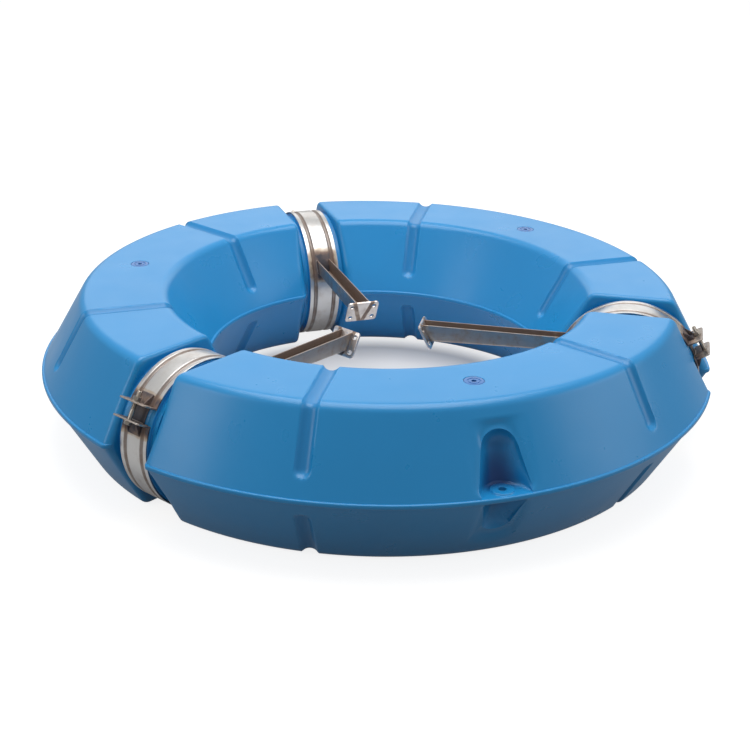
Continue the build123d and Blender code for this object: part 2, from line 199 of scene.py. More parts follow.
class MeshParts:
    """Gathers grids of points and writes them as one mesh."""

    def __init__(self) -> None:
        """Starts with no points and no faces."""
        self.points: list[Array] = []
        self.quads: list[Array] = []
        self.triangles: list[Array] = []
        self.uvs: list[Array] = []
        self.count = 0

    def add_grid(self, grid: Array, wrap: bool = False, keep: Array | None = None,
                 uv: Array | None = None) -> int:
        """Adds a grid of points and a quad in each of its cells.

        Args:
            grid: points, rows by columns by 3.
            wrap: whether the last row joins the first.
            keep: mask of the cells that get a face, or None for all of them.
            uv: map coordinates, rows by columns by 2, or None for zeros.

        Returns:
            The number of the grid's first point.
        """
        rows, columns = grid.shape[:2]
        size = rows * columns
        first = self.count
        self.points.append(grid.reshape(-1, 3))
        self.uvs.append(np.zeros((size, 2)) if uv is None else uv.reshape(-1, 2))
        self.count += size
        number = np.arange(size).reshape(rows, columns) + first
        below = np.vstack([number[1:], number[:1]]) if wrap else number[1:]
        above = number if wrap else number[:-1]
        cells = np.stack([above[:, :-1], below[:, :-1], below[:, 1:], above[:, 1:]], axis=-1)
        self.quads.append(cells[keep] if keep is not None else cells.reshape(-1, 4))
        return first

    def add_carried(self, rings: Array, uv: Array | None = None) -> None:
        """Adds a closed profile carried along a path, with both ends filled.

        Args:
            rings: points, stations by profile points by 3; each ring is a closed loop.
            uv: map coordinates of the rings, or None.
        """
        turned_uv = None if uv is None else np.swapaxes(uv, 0, 1)
        first = self.add_grid(np.swapaxes(rings, 0, 1), wrap=True, uv=turned_uv)
        stations = rings.shape[0]
        for station in (0, stations - 1):
            fill = np.array(tessellate_polygon([[Vector(point) for point in rings[station]]]))
            self.triangles.append(fill * stations + station + first)

    def add_turned(self, rows: Rows, centre: Array, axis: Array, count: int) -> None:
        """Adds a skin of rows that run round an axis, such as a screw's or a plug's.

        Each point lies at its row's radius from the axis and at its row's height
        along it. Both may be one number or change round the axis.

        Args:
            rows: radius and height of each row, along the skin's section.
            centre: where height is zero on the axis.
            axis: direction of the axis, at length one.
            count: points round the axis.
        """
        radius, height = (np.stack([np.broadcast_to(row[part], count) for row in rows], axis=1)
                          for part in (0, 1))
        side = unit(np.cross(axis, UP if abs(axis[2]) < 0.9 else np.array([0.0, 1.0, 0.0])))
        outwards = rays(circle(count))[:, None] @ np.stack([side, np.cross(axis, side)])
        self.add_grid(centre + radius[..., None] * outwards + height[..., None] * axis, wrap=True)

    def add_plate(self, contours: list[Array], thickness: float, edge: float,
                  place: Matrix) -> None:
        """Adds a flat plate with holes and rounded edges.

        The outer contour runs counter-clockwise and the holes clockwise. From each
        contour a quarter round of the edge radius runs to either face.

        Args:
            contours: outer contour first, then the holes, as rows of x, y.
            thickness: plate thickness, split evenly about the plate's own plane.
            edge: radius of the edge rounds.
            place: matrix from the plate's plane to the frame.
        """
        turn = np.linspace(0, QUARTER, 4)
        inset = np.concatenate([edge * (1 - np.sin(turn)), edge * (1 - np.cos(turn))])
        height = np.concatenate([thickness / 2 - edge * (1 - np.cos(turn)),
                                 -thickness / 2 + edge * (1 - np.sin(turn))])
        matrix = np.array(place)
        top, bottom = 0, -1
        faces: dict[int, list[Array]] = {top: [], bottom: []}
        numbers: dict[int, list[Array]] = {top: [], bottom: []}
        for contour in contours:
            size = len(contour)
            rings = np.stack([np.column_stack([offset_loop(contour, cut), np.full(size, level)])
                              for cut, level in zip(inset, height)])
            placed = np.swapaxes(rings @ matrix[:3, :3].T + matrix[:3, 3], 0, 1)
            first = self.add_grid(placed, wrap=True, uv=np.swapaxes(rings[..., :2], 0, 1))
            order = np.arange(size) * len(inset) + first
            for level in (top, bottom):
                faces[level].append(rings[level])
                numbers[level].append(order + (len(inset) - 1 if level else 0))
        for level in (top, bottom):
            loops = [[Vector(point) for point in loop] for loop in faces[level]]
            fill = np.array(tessellate_polygon(loops))
            self.triangles.append(np.concatenate(numbers[level])[fill])

    def build(self, name: str) -> bpy.types.Object:
        """Writes the gathered grids as one object at the origin.

        Args:
            name: name of the piece.

        Returns:
            The new object, with its doubles merged and its faces turned outwards.
        """
        uv = np.concatenate(self.uvs)
        faces = [face for block in self.quads + self.triangles for face in block.tolist()]
        mesh = bpy.data.meshes.new(name)
        mesh.from_pydata(np.concatenate(self.points).tolist(), [], faces)
        corner = np.zeros(len(mesh.loops), dtype=np.int32)
        mesh.loops.foreach_get("vertex_index", corner)
        layer = mesh.uv_layers.new(name="surface")
        layer.data.foreach_set("uv", uv[corner].ravel().astype(np.float32))
        work = bmesh.new()
        work.from_mesh(mesh)
        bmesh.ops.remove_doubles(work, verts=work.verts[:], dist=MERGE_DISTANCE)
        bmesh.ops.dissolve_degenerate(work, edges=work.edges[:], dist=THIN_EDGE)
        bmesh.ops.recalc_face_normals(work, faces=work.faces[:])
        work.to_mesh(mesh)
        work.free()
        mesh.polygons.foreach_set("use_smooth", np.ones(len(mesh.polygons), dtype=bool))
        mesh.set_sharp_from_angle(angle=SHARP_ANGLE)
        piece = bpy.data.objects.new(name, mesh)
        bpy.context.scene.collection.objects.link(piece)
        return piece


def mesh_points(piece: bpy.types.Object) -> Array:
    """The piece's points as rows of x, y, z."""
    flat = np.zeros(len(piece.data.vertices) * 3, np.float32)
    piece.data.vertices.foreach_get("co", flat)
    return flat.reshape(-1, 3).astype(float)


def write_attribute(piece: bpy.types.Object, kind: Attribute, values: Array) -> None:
    """Writes one number for each point of the piece, held between 0 and 1."""
    layer = piece.data.attributes.new(kind.value, "FLOAT", "POINT")
    layer.data.foreach_set("value", np.clip(values, 0, 1).astype(np.float32))


def hexagon_radius(angle: Array, across_flats: float) -> Array:
    """Distance from a hexagon's centre to its side.

    Half the width over the cosine of the angle from the nearest side's middle.
    """
    sixth = np.pi / 3
    return across_flats / 2 / np.cos((angle + sixth / 2) % sixth - sixth / 2)


@dataclass(frozen=True)
class MouldedFloat:
    """One hollow float: six-sided in section, with a lip, grooves, necks and recesses."""

    outer_radius: float = 0.650
    height: float = 0.280
    centre_radius: float = 0.489
    flat_width: float = 0.158
    edge_round: float = 0.021
    lip_thickness: float = 0.009
    lip_stand: float = 0.0045
    lip_round: float = 0.003
    end_gap: float = 0.045
    end_round: float = 0.008
    side_end_round: float = 0.015
    side_from: float = 0.50
    side_over: float = 0.40
    half_span: float = math.radians(60)
    groove_angle: float = math.radians(30)
    groove_width: float = 0.029
    groove_floor: float = 0.001
    groove_depth: float = 0.0074
    groove_end_from_lip: float = 0.047
    groove_knee: float = 0.0009
    eye_radius_from_axis: float = 0.623
    eye_hole_radius: float = 0.0065
    eye_boss_radius: float = 0.020
    eye_boss_height: float = 0.0025
    boss_foot: float = 0.0017
    boss_edge: tuple[tuple[float, float], ...] = (
        (0.0009, 0.12), (0.0003, 0.4), (-0.0001, 0.75), (-0.0006, 0.94), (-0.0013, 1.0))
    recess_half_width: float = 0.045
    recess_length: float = 0.112
    recess_nose: float = 0.030
    lower_share: float = 0.8
    window_half_width: float = 0.060
    window_reach: float = 0.126
    extra_lower_rows: int = 4
    rim_passes: int = 40
    rim_give: float = 0.0042
    rim_fade: float = 0.3
    rim_ends: tuple[float, ...] = (0.6, 0.3, 0.0)
    port_radius_from_axis: float = 0.487
    port_seat_radius: float = 0.018
    port_seat_depth: float = 0.004
    port_bore_radius: float = 0.014
    port_bore_depth: float = 0.024
    port_window: float = 0.029
    neck_radius: float = 0.1333
    neck_groove_radius: float = 0.1312
    neck_root_radius: float = 0.1273
    neck_fillet: float = 0.003
    neck_chamfer: float = 0.0012
    neck_hub: float = 0.06
    neck_clearance: float = 0.0005
    band_half_width: float = 0.033
    rib_seat: tuple[float, ...] = (0.0256, 0.0226, 0.0184, 0.0154)
    slope_step: float = 0.0042
    top_step: float = 0.0058
    inset_step: float = 0.002
    foot_rows: tuple[float, ...] = (0.0, 0.0012, 0.003, 0.0055)
    first_even_row: float = 0.009
    lip_columns: tuple[float, ...] = (0.0, 0.1, 0.2, 0.32, 0.48, 0.72, 1.0)
    column_spans: tuple[tuple[float, int], ...] = ((27.0, 36), (33.0, 34), (46.0, 21))
    # Painted shade: darker with depth in the recesses, and a faint line along the grooves.
    painted_shade_from_depth: float = 0.013
    painted_shade_over_depth: float = 0.027
    groove_painted_shade: float = 0.18
    groove_painted_shade_side: float = 0.007
    groove_painted_shade_ahead: float = 0.009
    groove_painted_shade_end: float = 0.006

    @property
    def middle(self) -> float:
        """Height of the lip's middle."""
        return self.height / 2

    @property
    def lip_half(self) -> float:
        """Half the lip's thickness."""
        return self.lip_thickness / 2

    @property
    def ridge(self) -> float:
        """Distance from the section's centre to the foot of the lip."""
        return self.outer_radius - self.lip_stand - self.centre_radius

    @property
    def ridge_radius(self) -> float:
        """Distance from the ring's axis to the foot of the lip."""
        return self.centre_radius + self.ridge

    @property
    def slope(self) -> Array:
        """Direction up the outer slope, in the section's plane."""
        return unit(np.array([self.flat_width / 2 - self.ridge, self.middle - self.lip_half]))

    @property
    def slope_normal(self) -> Array:
        """Outward normal of the upper outer slope."""
        return np.array([self.slope[1], -self.slope[0]])

    def quarter(self, inset: float, lip: bool, slope_step: float,
                top_step: float) -> tuple[Array, Array]:
        """Outer upper quarter of the section, from the lip's middle to the top's middle.

        The lip is two straight stretches and a quarter round, the slope is straight,
        the edge is an arc from the slope's normal to the vertical, and the top is flat.

        Args:
            inset: how far the outline lies inside the float's surface.
            lip: whether the lip is drawn.
            slope_step: spacing of the points up the slope.
            top_step: spacing of the points across the top.

        Returns:
            The points, and each point's distance up the slope from the lip's foot.
        """
        angle = math.atan2(self.slope_normal[1], self.slope_normal[0])
        ridge = self.ridge - inset / math.cos(angle)
        top = self.middle - inset
        bend = self.edge_round - inset
        corner = self.flat_width / 2 + math.tan(angle) * inset - inset / math.cos(angle)
        tangent = bend * math.tan((QUARTER - angle) / 2)
        length = math.hypot(ridge - corner, top - self.lip_half) - tangent
        even = np.linspace(self.first_even_row, length, int(length / slope_step))
        up = np.concatenate([self.foot_rows, even])
        straight = np.array([ridge, self.lip_half]) + up[:, None] * self.slope
        turn = np.linspace(angle, QUARTER, 8)[1:]
        arc = np.array([corner - tangent, top - bend]) + bend * rays(turn)
        across = np.linspace(corner - tangent, 0, int(corner / top_step))[1:]
        flat = np.column_stack([across, np.full(len(across), top)])
        if lip:
            edge = self.ridge + self.lip_stand
            centre = np.array([edge - self.lip_round, self.lip_half - self.lip_round])
            nose = centre + self.lip_round * rays(np.linspace(0, QUARTER, 5))
            halfway = (edge - self.lip_round + self.ridge) / 2
            start = np.vstack([[edge, 0], nose, [halfway, self.lip_half]])
        else:
            start = np.array([[ridge, 0.0], [ridge, self.lip_half / 2]])
        points = np.vstack([start, straight, arc, flat])
        below = np.full(len(start), -1.0)
        beyond = np.full(len(arc) + len(flat), length)
        return points, np.concatenate([below, up, beyond])

    @staticmethod
    def mirrored_loop(values: Array, change_sign: bool) -> Array:
        """A quarter's values carried round the whole section by mirroring.

        Args:
            values: one row for each point of the quarter.
            change_sign: whether x and z change their sign with the side.

        Returns:
            One row for each point of the closed loop.
        """
        pieces = []
        for index, flip in enumerate(((1, 1), (-1, 1), (-1, -1), (1, -1))):
            block = values * np.array(flip) if change_sign else values
            pieces.append((block[::-1] if index % 2 else block)[:-1])
        return np.concatenate(pieces)

    def grooves(self, angle: Array, radius: Array, slope_distance: Array) -> Array:
        """Depth of the moulded cross grooves.

        A groove has a flat floor and walls that are arcs: the root of the wall's
        radius squared less the squared distances past the floor's side and past its
        end, less the height of the arcs' centre above the surface.

        Args:
            angle: angle of each point about the ring's axis.
            radius: distance of each point from that axis.
            slope_distance: distance up the slope from the lip, negative on the lip.

        Returns:
            Depth below the plain surface, for each point.
        """
        wall = (self.groove_width - self.groove_floor) / 2
        bar = (self.groove_depth**2 + wall**2) / (2 * self.groove_depth)
        middle = np.abs(radius * np.sin(np.abs(angle) - self.groove_angle))
        across = np.maximum(0.0, middle - self.groove_floor / 2)
        past = np.maximum(0.0, self.groove_end_from_lip - slope_distance)
        root = np.sqrt(np.maximum(bar**2 - across**2 - past**2, 0.0))
        depth = soft_positive(root - (bar - self.groove_depth), self.groove_knee)
        return np.where(slope_distance < 0, 0.0, depth)

    def columns(self) -> tuple[Array, Array]:
        """Angles of the grid's columns from the float's middle, and the recess columns.

        Returns:
            Angles on the positive side, and the distances across of the columns that
            the window of the recess takes in.
        """
        lower = self.recess_half_width * self.lower_share
        margin = self.window_half_width - self.recess_half_width
        across = np.concatenate([np.linspace(0, lower, 11)[:-1],
                                 np.linspace(lower, self.recess_half_width, 5)[:-1],
                                 self.recess_half_width + margin * np.array(self.lip_columns)])
        window = np.arcsin(across / self.ridge_radius)
        degrees, start = [], math.degrees(window[-1])
        for end, count in self.column_spans:
            degrees.append(np.linspace(start, end, count)[1:])
            start = end
        return np.concatenate([window, np.radians(np.concatenate(degrees))]), across

    def at_end(self, section: Array, along: Array | float, bent: bool = False) -> Array:
        """Points near the float's end, in a frame whose second axis runs along the neck.

        Args:
            section: places about the section's centre, on the last axis.
            along: distances from the clamp's plane.
            bent: whether the section's radius still follows the ring.

        Returns:
            Points whose first axis runs outwards and whose third is the height.
        """
        out = self.centre_radius + section[..., 0]
        along = np.broadcast_to(along, out.shape)
        out = np.sqrt(out**2 - along**2) if bent else out
        return np.stack([out, along, self.middle + section[..., 1]], axis=-1)

    def end_columns(self, section: Array, start_angle: float) -> Array:
        """Points from the last plain column over the float's end to the neck's tip.

        The side runs to the start of the end round, the round blends the outline
        towards a plain inset one, the end face narrows to the neck's circle, and the
        neck is a turned profile that closes at its axis.

        Args:
            section: outline points about the section's centre, one row each.
            start_angle: angle of the last plain column.

        Returns:
            Points, outline by columns by 3, with the end at the positive angle.
        """
        radius = self.centre_radius + section[:, 0]
        own = np.arctan2(section[:, 1], section[:, 0])
        beside = smooth_step((np.abs(np.cos(own)) - self.side_from) / self.side_over)
        rounding = self.end_round + (self.side_end_round - self.end_round) * beside
        last = self.half_span - np.arcsin((self.end_gap + rounding) / radius)
        angle = start_angle + (last[:, None] - start_angle) * np.linspace(0, 1, 11)[1:]
        height = np.broadcast_to(self.middle + section[:, 1:], angle.shape)
        side = np.concatenate([radius[:, None, None] * rays(angle), height[..., None]], axis=-1)
        narrow, wide = (self.inset_reach(size, own)
                        for size in (self.end_round, self.side_end_round))
        target = (narrow + (wide - narrow) * beside)[:, None] * rays(own)
        turn = np.linspace(0, QUARTER, 8)[1:]
        outline = section[:, None] + (target - section)[:, None] * (1 - np.cos(turn))[:, None]
        along = self.end_gap + rounding[:, None] * (1 - np.sin(turn))
        rolled = self.at_end(outline, along, bent=True)
        local = rolled[:, -1, [0, 2]] - np.array([self.centre_radius, self.middle])
        direction = rays(np.arctan2(local[:, 1], local[:, 0]))
        neck = self.neck_profile()
        share = np.linspace(0, 1, 7)[1:-1]
        face = local[:, None] + (direction * neck[0, 1] - local)[:, None] * share[:, None]
        rings = direction[:, None] * neck[None, :, 1, None]
        end = np.concatenate([rolled, self.at_end(face, self.end_gap),
                              self.at_end(rings, neck[:, 0])], axis=1)
        cosine, sine = math.cos(self.half_span), math.sin(self.half_span)
        x = end[..., 0] * cosine + end[..., 1] * sine
        y = end[..., 0] * sine - end[..., 1] * cosine
        return np.concatenate([side, np.stack([x, y, end[..., 2]], axis=-1)], axis=1)

    def inset_reach(self, inset: float, angle: Array) -> Array:
        """Distance from the section's centre to the inset outline, at each angle."""
        quarter, _ = self.quarter(inset, False, self.inset_step, self.inset_step)
        loop = self.mirrored_loop(quarter, True)
        polar = np.arctan2(loop[:, 1], loop[:, 0])
        order = np.argsort(polar)
        return np.interp(angle, polar[order], np.hypot(loop[:, 0], loop[:, 1])[order], period=FULL)

    def neck_profile(self) -> Array:
        """Rows of distance from the clamp's plane and radius, from the end face to the axis."""
        fillet, cut, tip = self.neck_fillet, self.neck_chamfer, self.neck_clearance
        root_radius, neck, groove = self.neck_root_radius, self.neck_radius, self.neck_groove_radius
        root = (np.array([self.end_gap - fillet, root_radius + fillet])
                + fillet * np.array([1, -1]) * rays(np.linspace(0, QUARTER, 5)))
        edge = self.band_half_width
        seat = np.column_stack([self.rib_seat, [neck, groove, groove, neck]])
        steps = [[edge + 0.001, root_radius], [edge, root_radius + cut], [edge, neck - cut],
                 [edge - cut, neck], *seat, [tip + 0.001, neck], [tip, neck - 0.001],
                 [tip, self.neck_hub], [tip, 0.0]]
        return np.vstack([root, steps])

    def cone_reach(self, towards_nose: Array, share: float) -> Array:
        """Distance from the recess's origin on the ridge to its round-nosed cone.

        The nose is a ball: its centre's distance along the ray, plus the root of its
        radius squared less the ray's squared distance from that centre. Past the
        ball's contact with the cone, it is the half width over sine plus lean times
        cosine of the ray's angle from the axis.

        Args:
            towards_nose: cosine of each ray's angle from the cone's axis.
            share: size of this recess against the upper one.

        Returns:
            The distance along each ray.
        """
        half_width, nose = self.recess_half_width * share, self.recess_nose * share
        ball = self.recess_length * share - nose
        lean = math.atan2(half_width, ball) - math.asin(nose / math.hypot(ball, half_width))
        contact = math.atan2(nose * math.cos(lean), ball + nose * math.sin(lean))
        cosine = np.clip(towards_nose, 0.0, 1.0)
        sine = np.sqrt(1 - cosine**2)
        on_ball = ball * cosine + np.sqrt(np.maximum(nose**2 - (ball * sine) ** 2, 0.0))
        on_cone = half_width / (sine + math.tan(lean) * cosine)
        return np.where(np.arccos(cosine) < contact, on_ball, on_cone)

    def by_slope(self, up: Array, across: Array, outwards: Array | float = 0.0) -> Array:
        """Points given by their place against the upper outer slope.

        Args:
            up: distance up the slope from the lip's foot.
            across: distance across.
            outwards: distance along the slope's normal.

        Returns:
            Points as distance from the ring's axis, distance across and height.
        """
        radius = self.ridge_radius + up * self.slope[0] + outwards * self.slope_normal[0]
        height = self.middle + self.lip_half + up * self.slope[1] + outwards * self.slope_normal[1]
        return np.stack([radius, np.broadcast_to(across, up.shape), height], axis=-1)

    def by_eye(self, radius: Array | float, angle: Array, lift: float = 0.0) -> Array:
        """Points on circles about the mooring eye, as distance from the axis, across and height."""
        return np.column_stack([self.eye_radius_from_axis + radius * np.cos(angle),
                                radius * np.sin(angle),
                                np.full(len(angle), self.middle + self.lip_half + lift)])

    def window_border(self, slope_up: Array, across: Array) -> Array:
        """Border of the recess's window: up one side, over the top and down the other.

        Args:
            slope_up: distances up the slope of the window's rows.
            across: distances across of the window's columns, from the middle out.

        Returns:
            Rows of distance up the slope and distance across.
        """
        radius_up = self.ridge_radius + slope_up * self.slope[0]
        side = radius_up[:-1] * math.sin(math.asin(self.window_half_width / self.ridge_radius))
        top = radius_up[-1] * np.sin(np.arcsin(across / self.ridge_radius))
        top = np.concatenate([top[::-1], -top[1:]])
        rising = np.column_stack([slope_up[:-1], side])
        return np.concatenate([rising, np.column_stack([np.full(len(top), slope_up[-1]), top]),
                               rising[::-1] * np.array([1, -1])])

    def relaxed(self, lines: Array, heading: Array) -> Array:
        """Lines over the recess's rim, relaxed by no more than the rim's give.

        In each pass a point moves half way to the middle of its two neighbours, by a
        weight that vanishes towards the lip and at the lines' inner ends.

        Args:
            lines: points, lines by places along them by 3.
            heading: direction of each line in the slope, zero along the lip.

        Returns:
            The relaxed points.
        """
        weight = smooth_step(np.sin(heading) / self.rim_fade)[:, None, None]
        steps = np.ones(lines.shape[1] - 2)
        steps[-len(self.rim_ends):] = self.rim_ends
        whole = lines.copy()
        for _ in range(self.rim_passes):
            bend = (whole[:, :-2] + whole[:, 2:]) / 2 - whole[:, 1:-1]
            whole[:, 1:-1] += 0.5 * weight * steps[:, None] * bend
        moved = whole - lines
        far = np.linalg.norm(moved, axis=2, keepdims=True)
        return lines + moved * np.minimum(1.0, self.rim_give / np.maximum(far, HAIR / 1000))

    def eye_rings(self, angle: Array, final: Array, rise: float) -> Array:
        """Rings from the foot of the mooring eye's boss over its edge and down its hole.

        Each ring has its own size and lift, and its angles pass by its own share from
        those of the boss's foot to those of the hole's last ring.

        Args:
            angle: angles of the boss's foot.
            final: angles of the hole's last ring.
            rise: height of the boss.

        Returns:
            Points, round the eye by rings by 3.
        """
        hole = self.eye_hole_radius
        rings = [(self.eye_boss_radius + step, rise * level, 0.0) for step, level in self.boss_edge]
        rings += [(hole + 0.0015, rise, 0.3), (hole + 0.0004, rise - 0.0003, 0.6),
                  (hole, rise - 0.0012, 0.8), (hole, -self.lip_half, 1.0)]
        turn, goal = np.unwrap(angle), np.unwrap(final)
        goal += FULL * np.round((turn[0] - goal[0]) / FULL)
        return np.stack([self.by_eye(size, turn + (goal - turn) * mix, lift)
                         for size, lift, mix in rings], axis=1)

    def recess(self, parts: MeshParts, slope_up: Array, across: Array, share: float,
               hole_angles: Array | None, mirror: bool) -> Array:
        """Adds the arched recess over a mooring eye, with the eye's floor, boss and hole.

        Lines run from the window's border to the rim, down the recess's wall to the
        floor, and over the floor to the hole. The wall is a round-nosed cone whose
        axis lies on the slope.

        Args:
            parts: mesh that takes the patch.
            slope_up: distances up the slope of the window's rows.
            across: distances across of the window's columns, from the middle out.
            share: size of this recess against the upper one.
            hole_angles: angles of the hole's last ring, or None for this patch's own.
            mirror: whether the patch lies below the lip.

        Returns:
            The angles of the hole's last ring.
        """
        half_width = self.recess_half_width * share
        border = self.window_border(slope_up, across)
        heading = np.arctan2(border[:, 0], border[:, 1])
        rise, run = np.sin(heading)[:, None], np.cos(heading)[:, None]
        rim = self.cone_reach(rise, share) * np.hstack([rise, run])
        outside = across[across > half_width - HAIR]
        fraction = ((outside - half_width) / (self.window_half_width - half_width))[::-1]
        ring = rim[:, None] + (border - rim)[:, None] * fraction[:, None]
        deepest = np.arctan(self.slope[1] / self.slope_normal[1] * np.maximum(rise, 0.0))
        down = deepest * np.linspace(0, 1, 15)[1:]
        towards_nose = np.cos(down) * rise
        reach = self.cone_reach(towards_nose, share)
        wall = self.by_slope(reach * towards_nose, reach * np.cos(down) * run,
                             -reach * np.sin(down))
        inner = across[across < half_width - HAIR]
        ridge_across = np.concatenate([-inner[::-1], inner[1:]])
        ridge_line = self.by_slope(np.zeros(len(ridge_across)), ridge_across)
        loop = np.concatenate([wall[:, -1], ridge_line])
        angle = np.arctan2(loop[:, 1], loop[:, 0] - self.eye_radius_from_axis)
        foot = self.by_eye(self.eye_boss_radius + self.boss_foot, angle)
        floor = loop[:, None] + (foot - loop)[:, None] * np.linspace(0, 1, 7)[1:, None]
        lines = len(border)
        slope_ring = self.by_slope(ring[..., 0], ring[..., 1])
        whole = self.relaxed(np.concatenate([slope_ring, wall, floor[:lines]], axis=1), heading)
        depth = slope_ring.shape[1] + wall.shape[1]
        floor = np.concatenate([loop[:, None], floor], axis=1)
        floor[:lines] = whole[:, depth - 1:]
        final = angle if hole_angles is None else hole_angles
        eye = self.eye_rings(angle, final, 0.0 if mirror else self.eye_boss_height)
        inside = np.concatenate([floor, eye], axis=1)
        for patch, wrap in ((whole[:, :depth], False), (inside, True)):
            x = np.sqrt(patch[..., 0] ** 2 - patch[..., 1] ** 2)
            z = 2 * self.middle - patch[..., 2] if mirror else patch[..., 2]
            parts.add_grid(np.stack([x, patch[..., 1], z], axis=-1), wrap=wrap)
        return final

    def port(self, parts: MeshParts, border: Array) -> None:
        """Adds the filler port inside a window of the top face.

        Lines run from the window's border towards the port's centre, over a seat and
        down a bore, at a list of radii and depths.

        Args:
            parts: mesh that takes the patch.
            border: closed border of the window, one row for each point.
        """
        angle = np.arctan2(border[:, 1], border[:, 0] - self.port_radius_from_axis)
        seat, bore = self.port_seat_radius, self.port_bore_radius
        rings = [(seat + 0.002, 0.0), (seat + 0.0006, 0.0), (seat + 0.0001, -0.0003),
                 (seat, -0.001), (seat, -self.port_seat_depth),
                 (bore + 0.0003, -self.port_seat_depth),
                 (bore, -self.port_seat_depth - 0.0004), (bore, -self.port_bore_depth),
                 (0.0, -self.port_bore_depth)]
        turned_in = np.stack([np.column_stack([self.port_radius_from_axis + size * np.cos(angle),
                                               size * np.sin(angle),
                                               np.full(len(angle), self.height + level)])
                              for size, level in rings], axis=1)
        share = np.linspace(0, 1, 5)[:-1]
        out = border[:, None] + (turned_in[:, 0] - border)[:, None] * share[:, None]
        parts.add_grid(np.concatenate([out, turned_in], axis=1), wrap=True)

    def recess_depth(self, points: Array) -> Array:
        """How far points lie inside the outer slopes within the recesses, and zero elsewhere.

        Args:
            points: rows of x, y, z of a float whose middle is on +X.

        Returns:
            Depths along the slope's normal.
        """
        radius = np.hypot(points[:, 0], points[:, 1])
        above = np.abs(points[:, 2] - self.middle) - self.lip_half
        depth = (self.ridge_radius - radius) * self.slope_normal[0] - above * self.slope_normal[1]
        inside = (np.abs(points[:, 1]) < self.window_half_width) & (radius > self.centre_radius)
        inside &= (above > -100 * HAIR) & (above < self.recess_length * self.slope[1])
        return np.where(inside, np.maximum(depth, 0.0), 0.0)

    def painted_shade(self, points: Array) -> Array:
        """Painted shade that grows with depth in the recesses, and a fainter line of it along the
        grooves.

        Args:
            points: rows of x, y, z of a float whose middle is on +X.

        Returns:
            Painted shade from 0 to 1 for each point.
        """
        deep = self.recess_depth(points) - self.painted_shade_from_depth
        recessed = smooth_step(deep / self.painted_shade_over_depth)
        angle = np.abs(np.arctan2(points[:, 1], points[:, 0])) - self.groove_angle
        across = np.abs(np.hypot(points[:, 0], points[:, 1]) * np.sin(angle))
        up = (np.abs(points[:, 2] - self.middle) - self.lip_half) / self.slope[1]
        line = smooth_step((self.groove_width / 2 - across) / self.groove_painted_shade_side)
        past = up - self.groove_end_from_lip + self.groove_painted_shade_ahead
        line *= smooth_step(past / self.groove_painted_shade_end)
        return np.maximum(recessed, self.groove_painted_shade * line)

    def surface(self) -> MeshParts:
        """The float's closed surface, with its middle on +X.

        The section's points lie on a grid by the angle about the ring's axis, moved
        inwards along the section's normal by the grooves' depth. The windows of the
        recesses and of the port are left out of the grid and filled by their patches.
        """
        quarter, up = self.quarter(0.0, True, self.slope_step, self.top_step)
        section = self.mirrored_loop(quarter, True)
        slope_distance = self.mirrored_loop(up[:, None], False)
        half, across = self.columns()
        angle = np.concatenate([-half[:0:-1], half])
        radius = self.centre_radius + section[:, :1]
        tangent = np.roll(section, -1, axis=0) - np.roll(section, 1, axis=0)
        normal = unit(np.column_stack([tangent[:, 1], -tangent[:, 0]]))
        depth = self.grooves(angle, radius, slope_distance)
        grid_height = self.middle + section[:, 1:] - depth * normal[:, 1:]
        body = np.concatenate([(radius - depth * normal[:, :1])[..., None] * rays(angle),
                               grid_height[..., None]], axis=-1)
        end = self.end_columns(section, float(half[-1]))
        grid = np.concatenate([end[:, ::-1] * np.array([1, -1, 1]), body, end], axis=1)
        rows, columns = grid.shape[:2]
        keep = np.ones((rows, columns - 1), dtype=bool)
        middle = end.shape[1] + len(half) - 1
        window = slice(middle - len(across) + 1, middle + len(across) - 1)
        ridge_row = int(np.argmax(up >= 0))
        top_row = int(np.argmax(up >= self.window_reach))
        low_top = top_row + self.extra_lower_rows
        keep[ridge_row:top_row, window] = False
        keep[rows - low_top:rows - ridge_row, window] = False
        on_port = np.abs(radius[:, 0] - self.port_radius_from_axis) <= self.port_window
        port_rows = np.flatnonzero(on_port & (section[:, 1] > 0))
        first, last = int(port_rows[0]), int(port_rows[-1])
        wide = int(np.searchsorted(half, self.port_window / self.port_radius_from_axis))
        keep[first:last, middle - wide:middle + wide] = False
        parts = MeshParts()
        parts.add_grid(grid, wrap=True, keep=keep)
        upper = self.recess(parts, up[ridge_row:top_row + 1], across, 1.0, None, False)
        self.recess(parts, up[ridge_row:low_top + 1], across, self.lower_share, upper, True)
        port = np.arange(middle - wide, middle + wide + 1)
        border = np.concatenate([grid[first, port], grid[first + 1:last, port[-1]],
                                 grid[last, port[::-1]], grid[last - 1:first:-1, port[0]]])
        self.port(parts, border)
        LOG.info("float section of %d points on %d columns", rows, columns)
        return parts


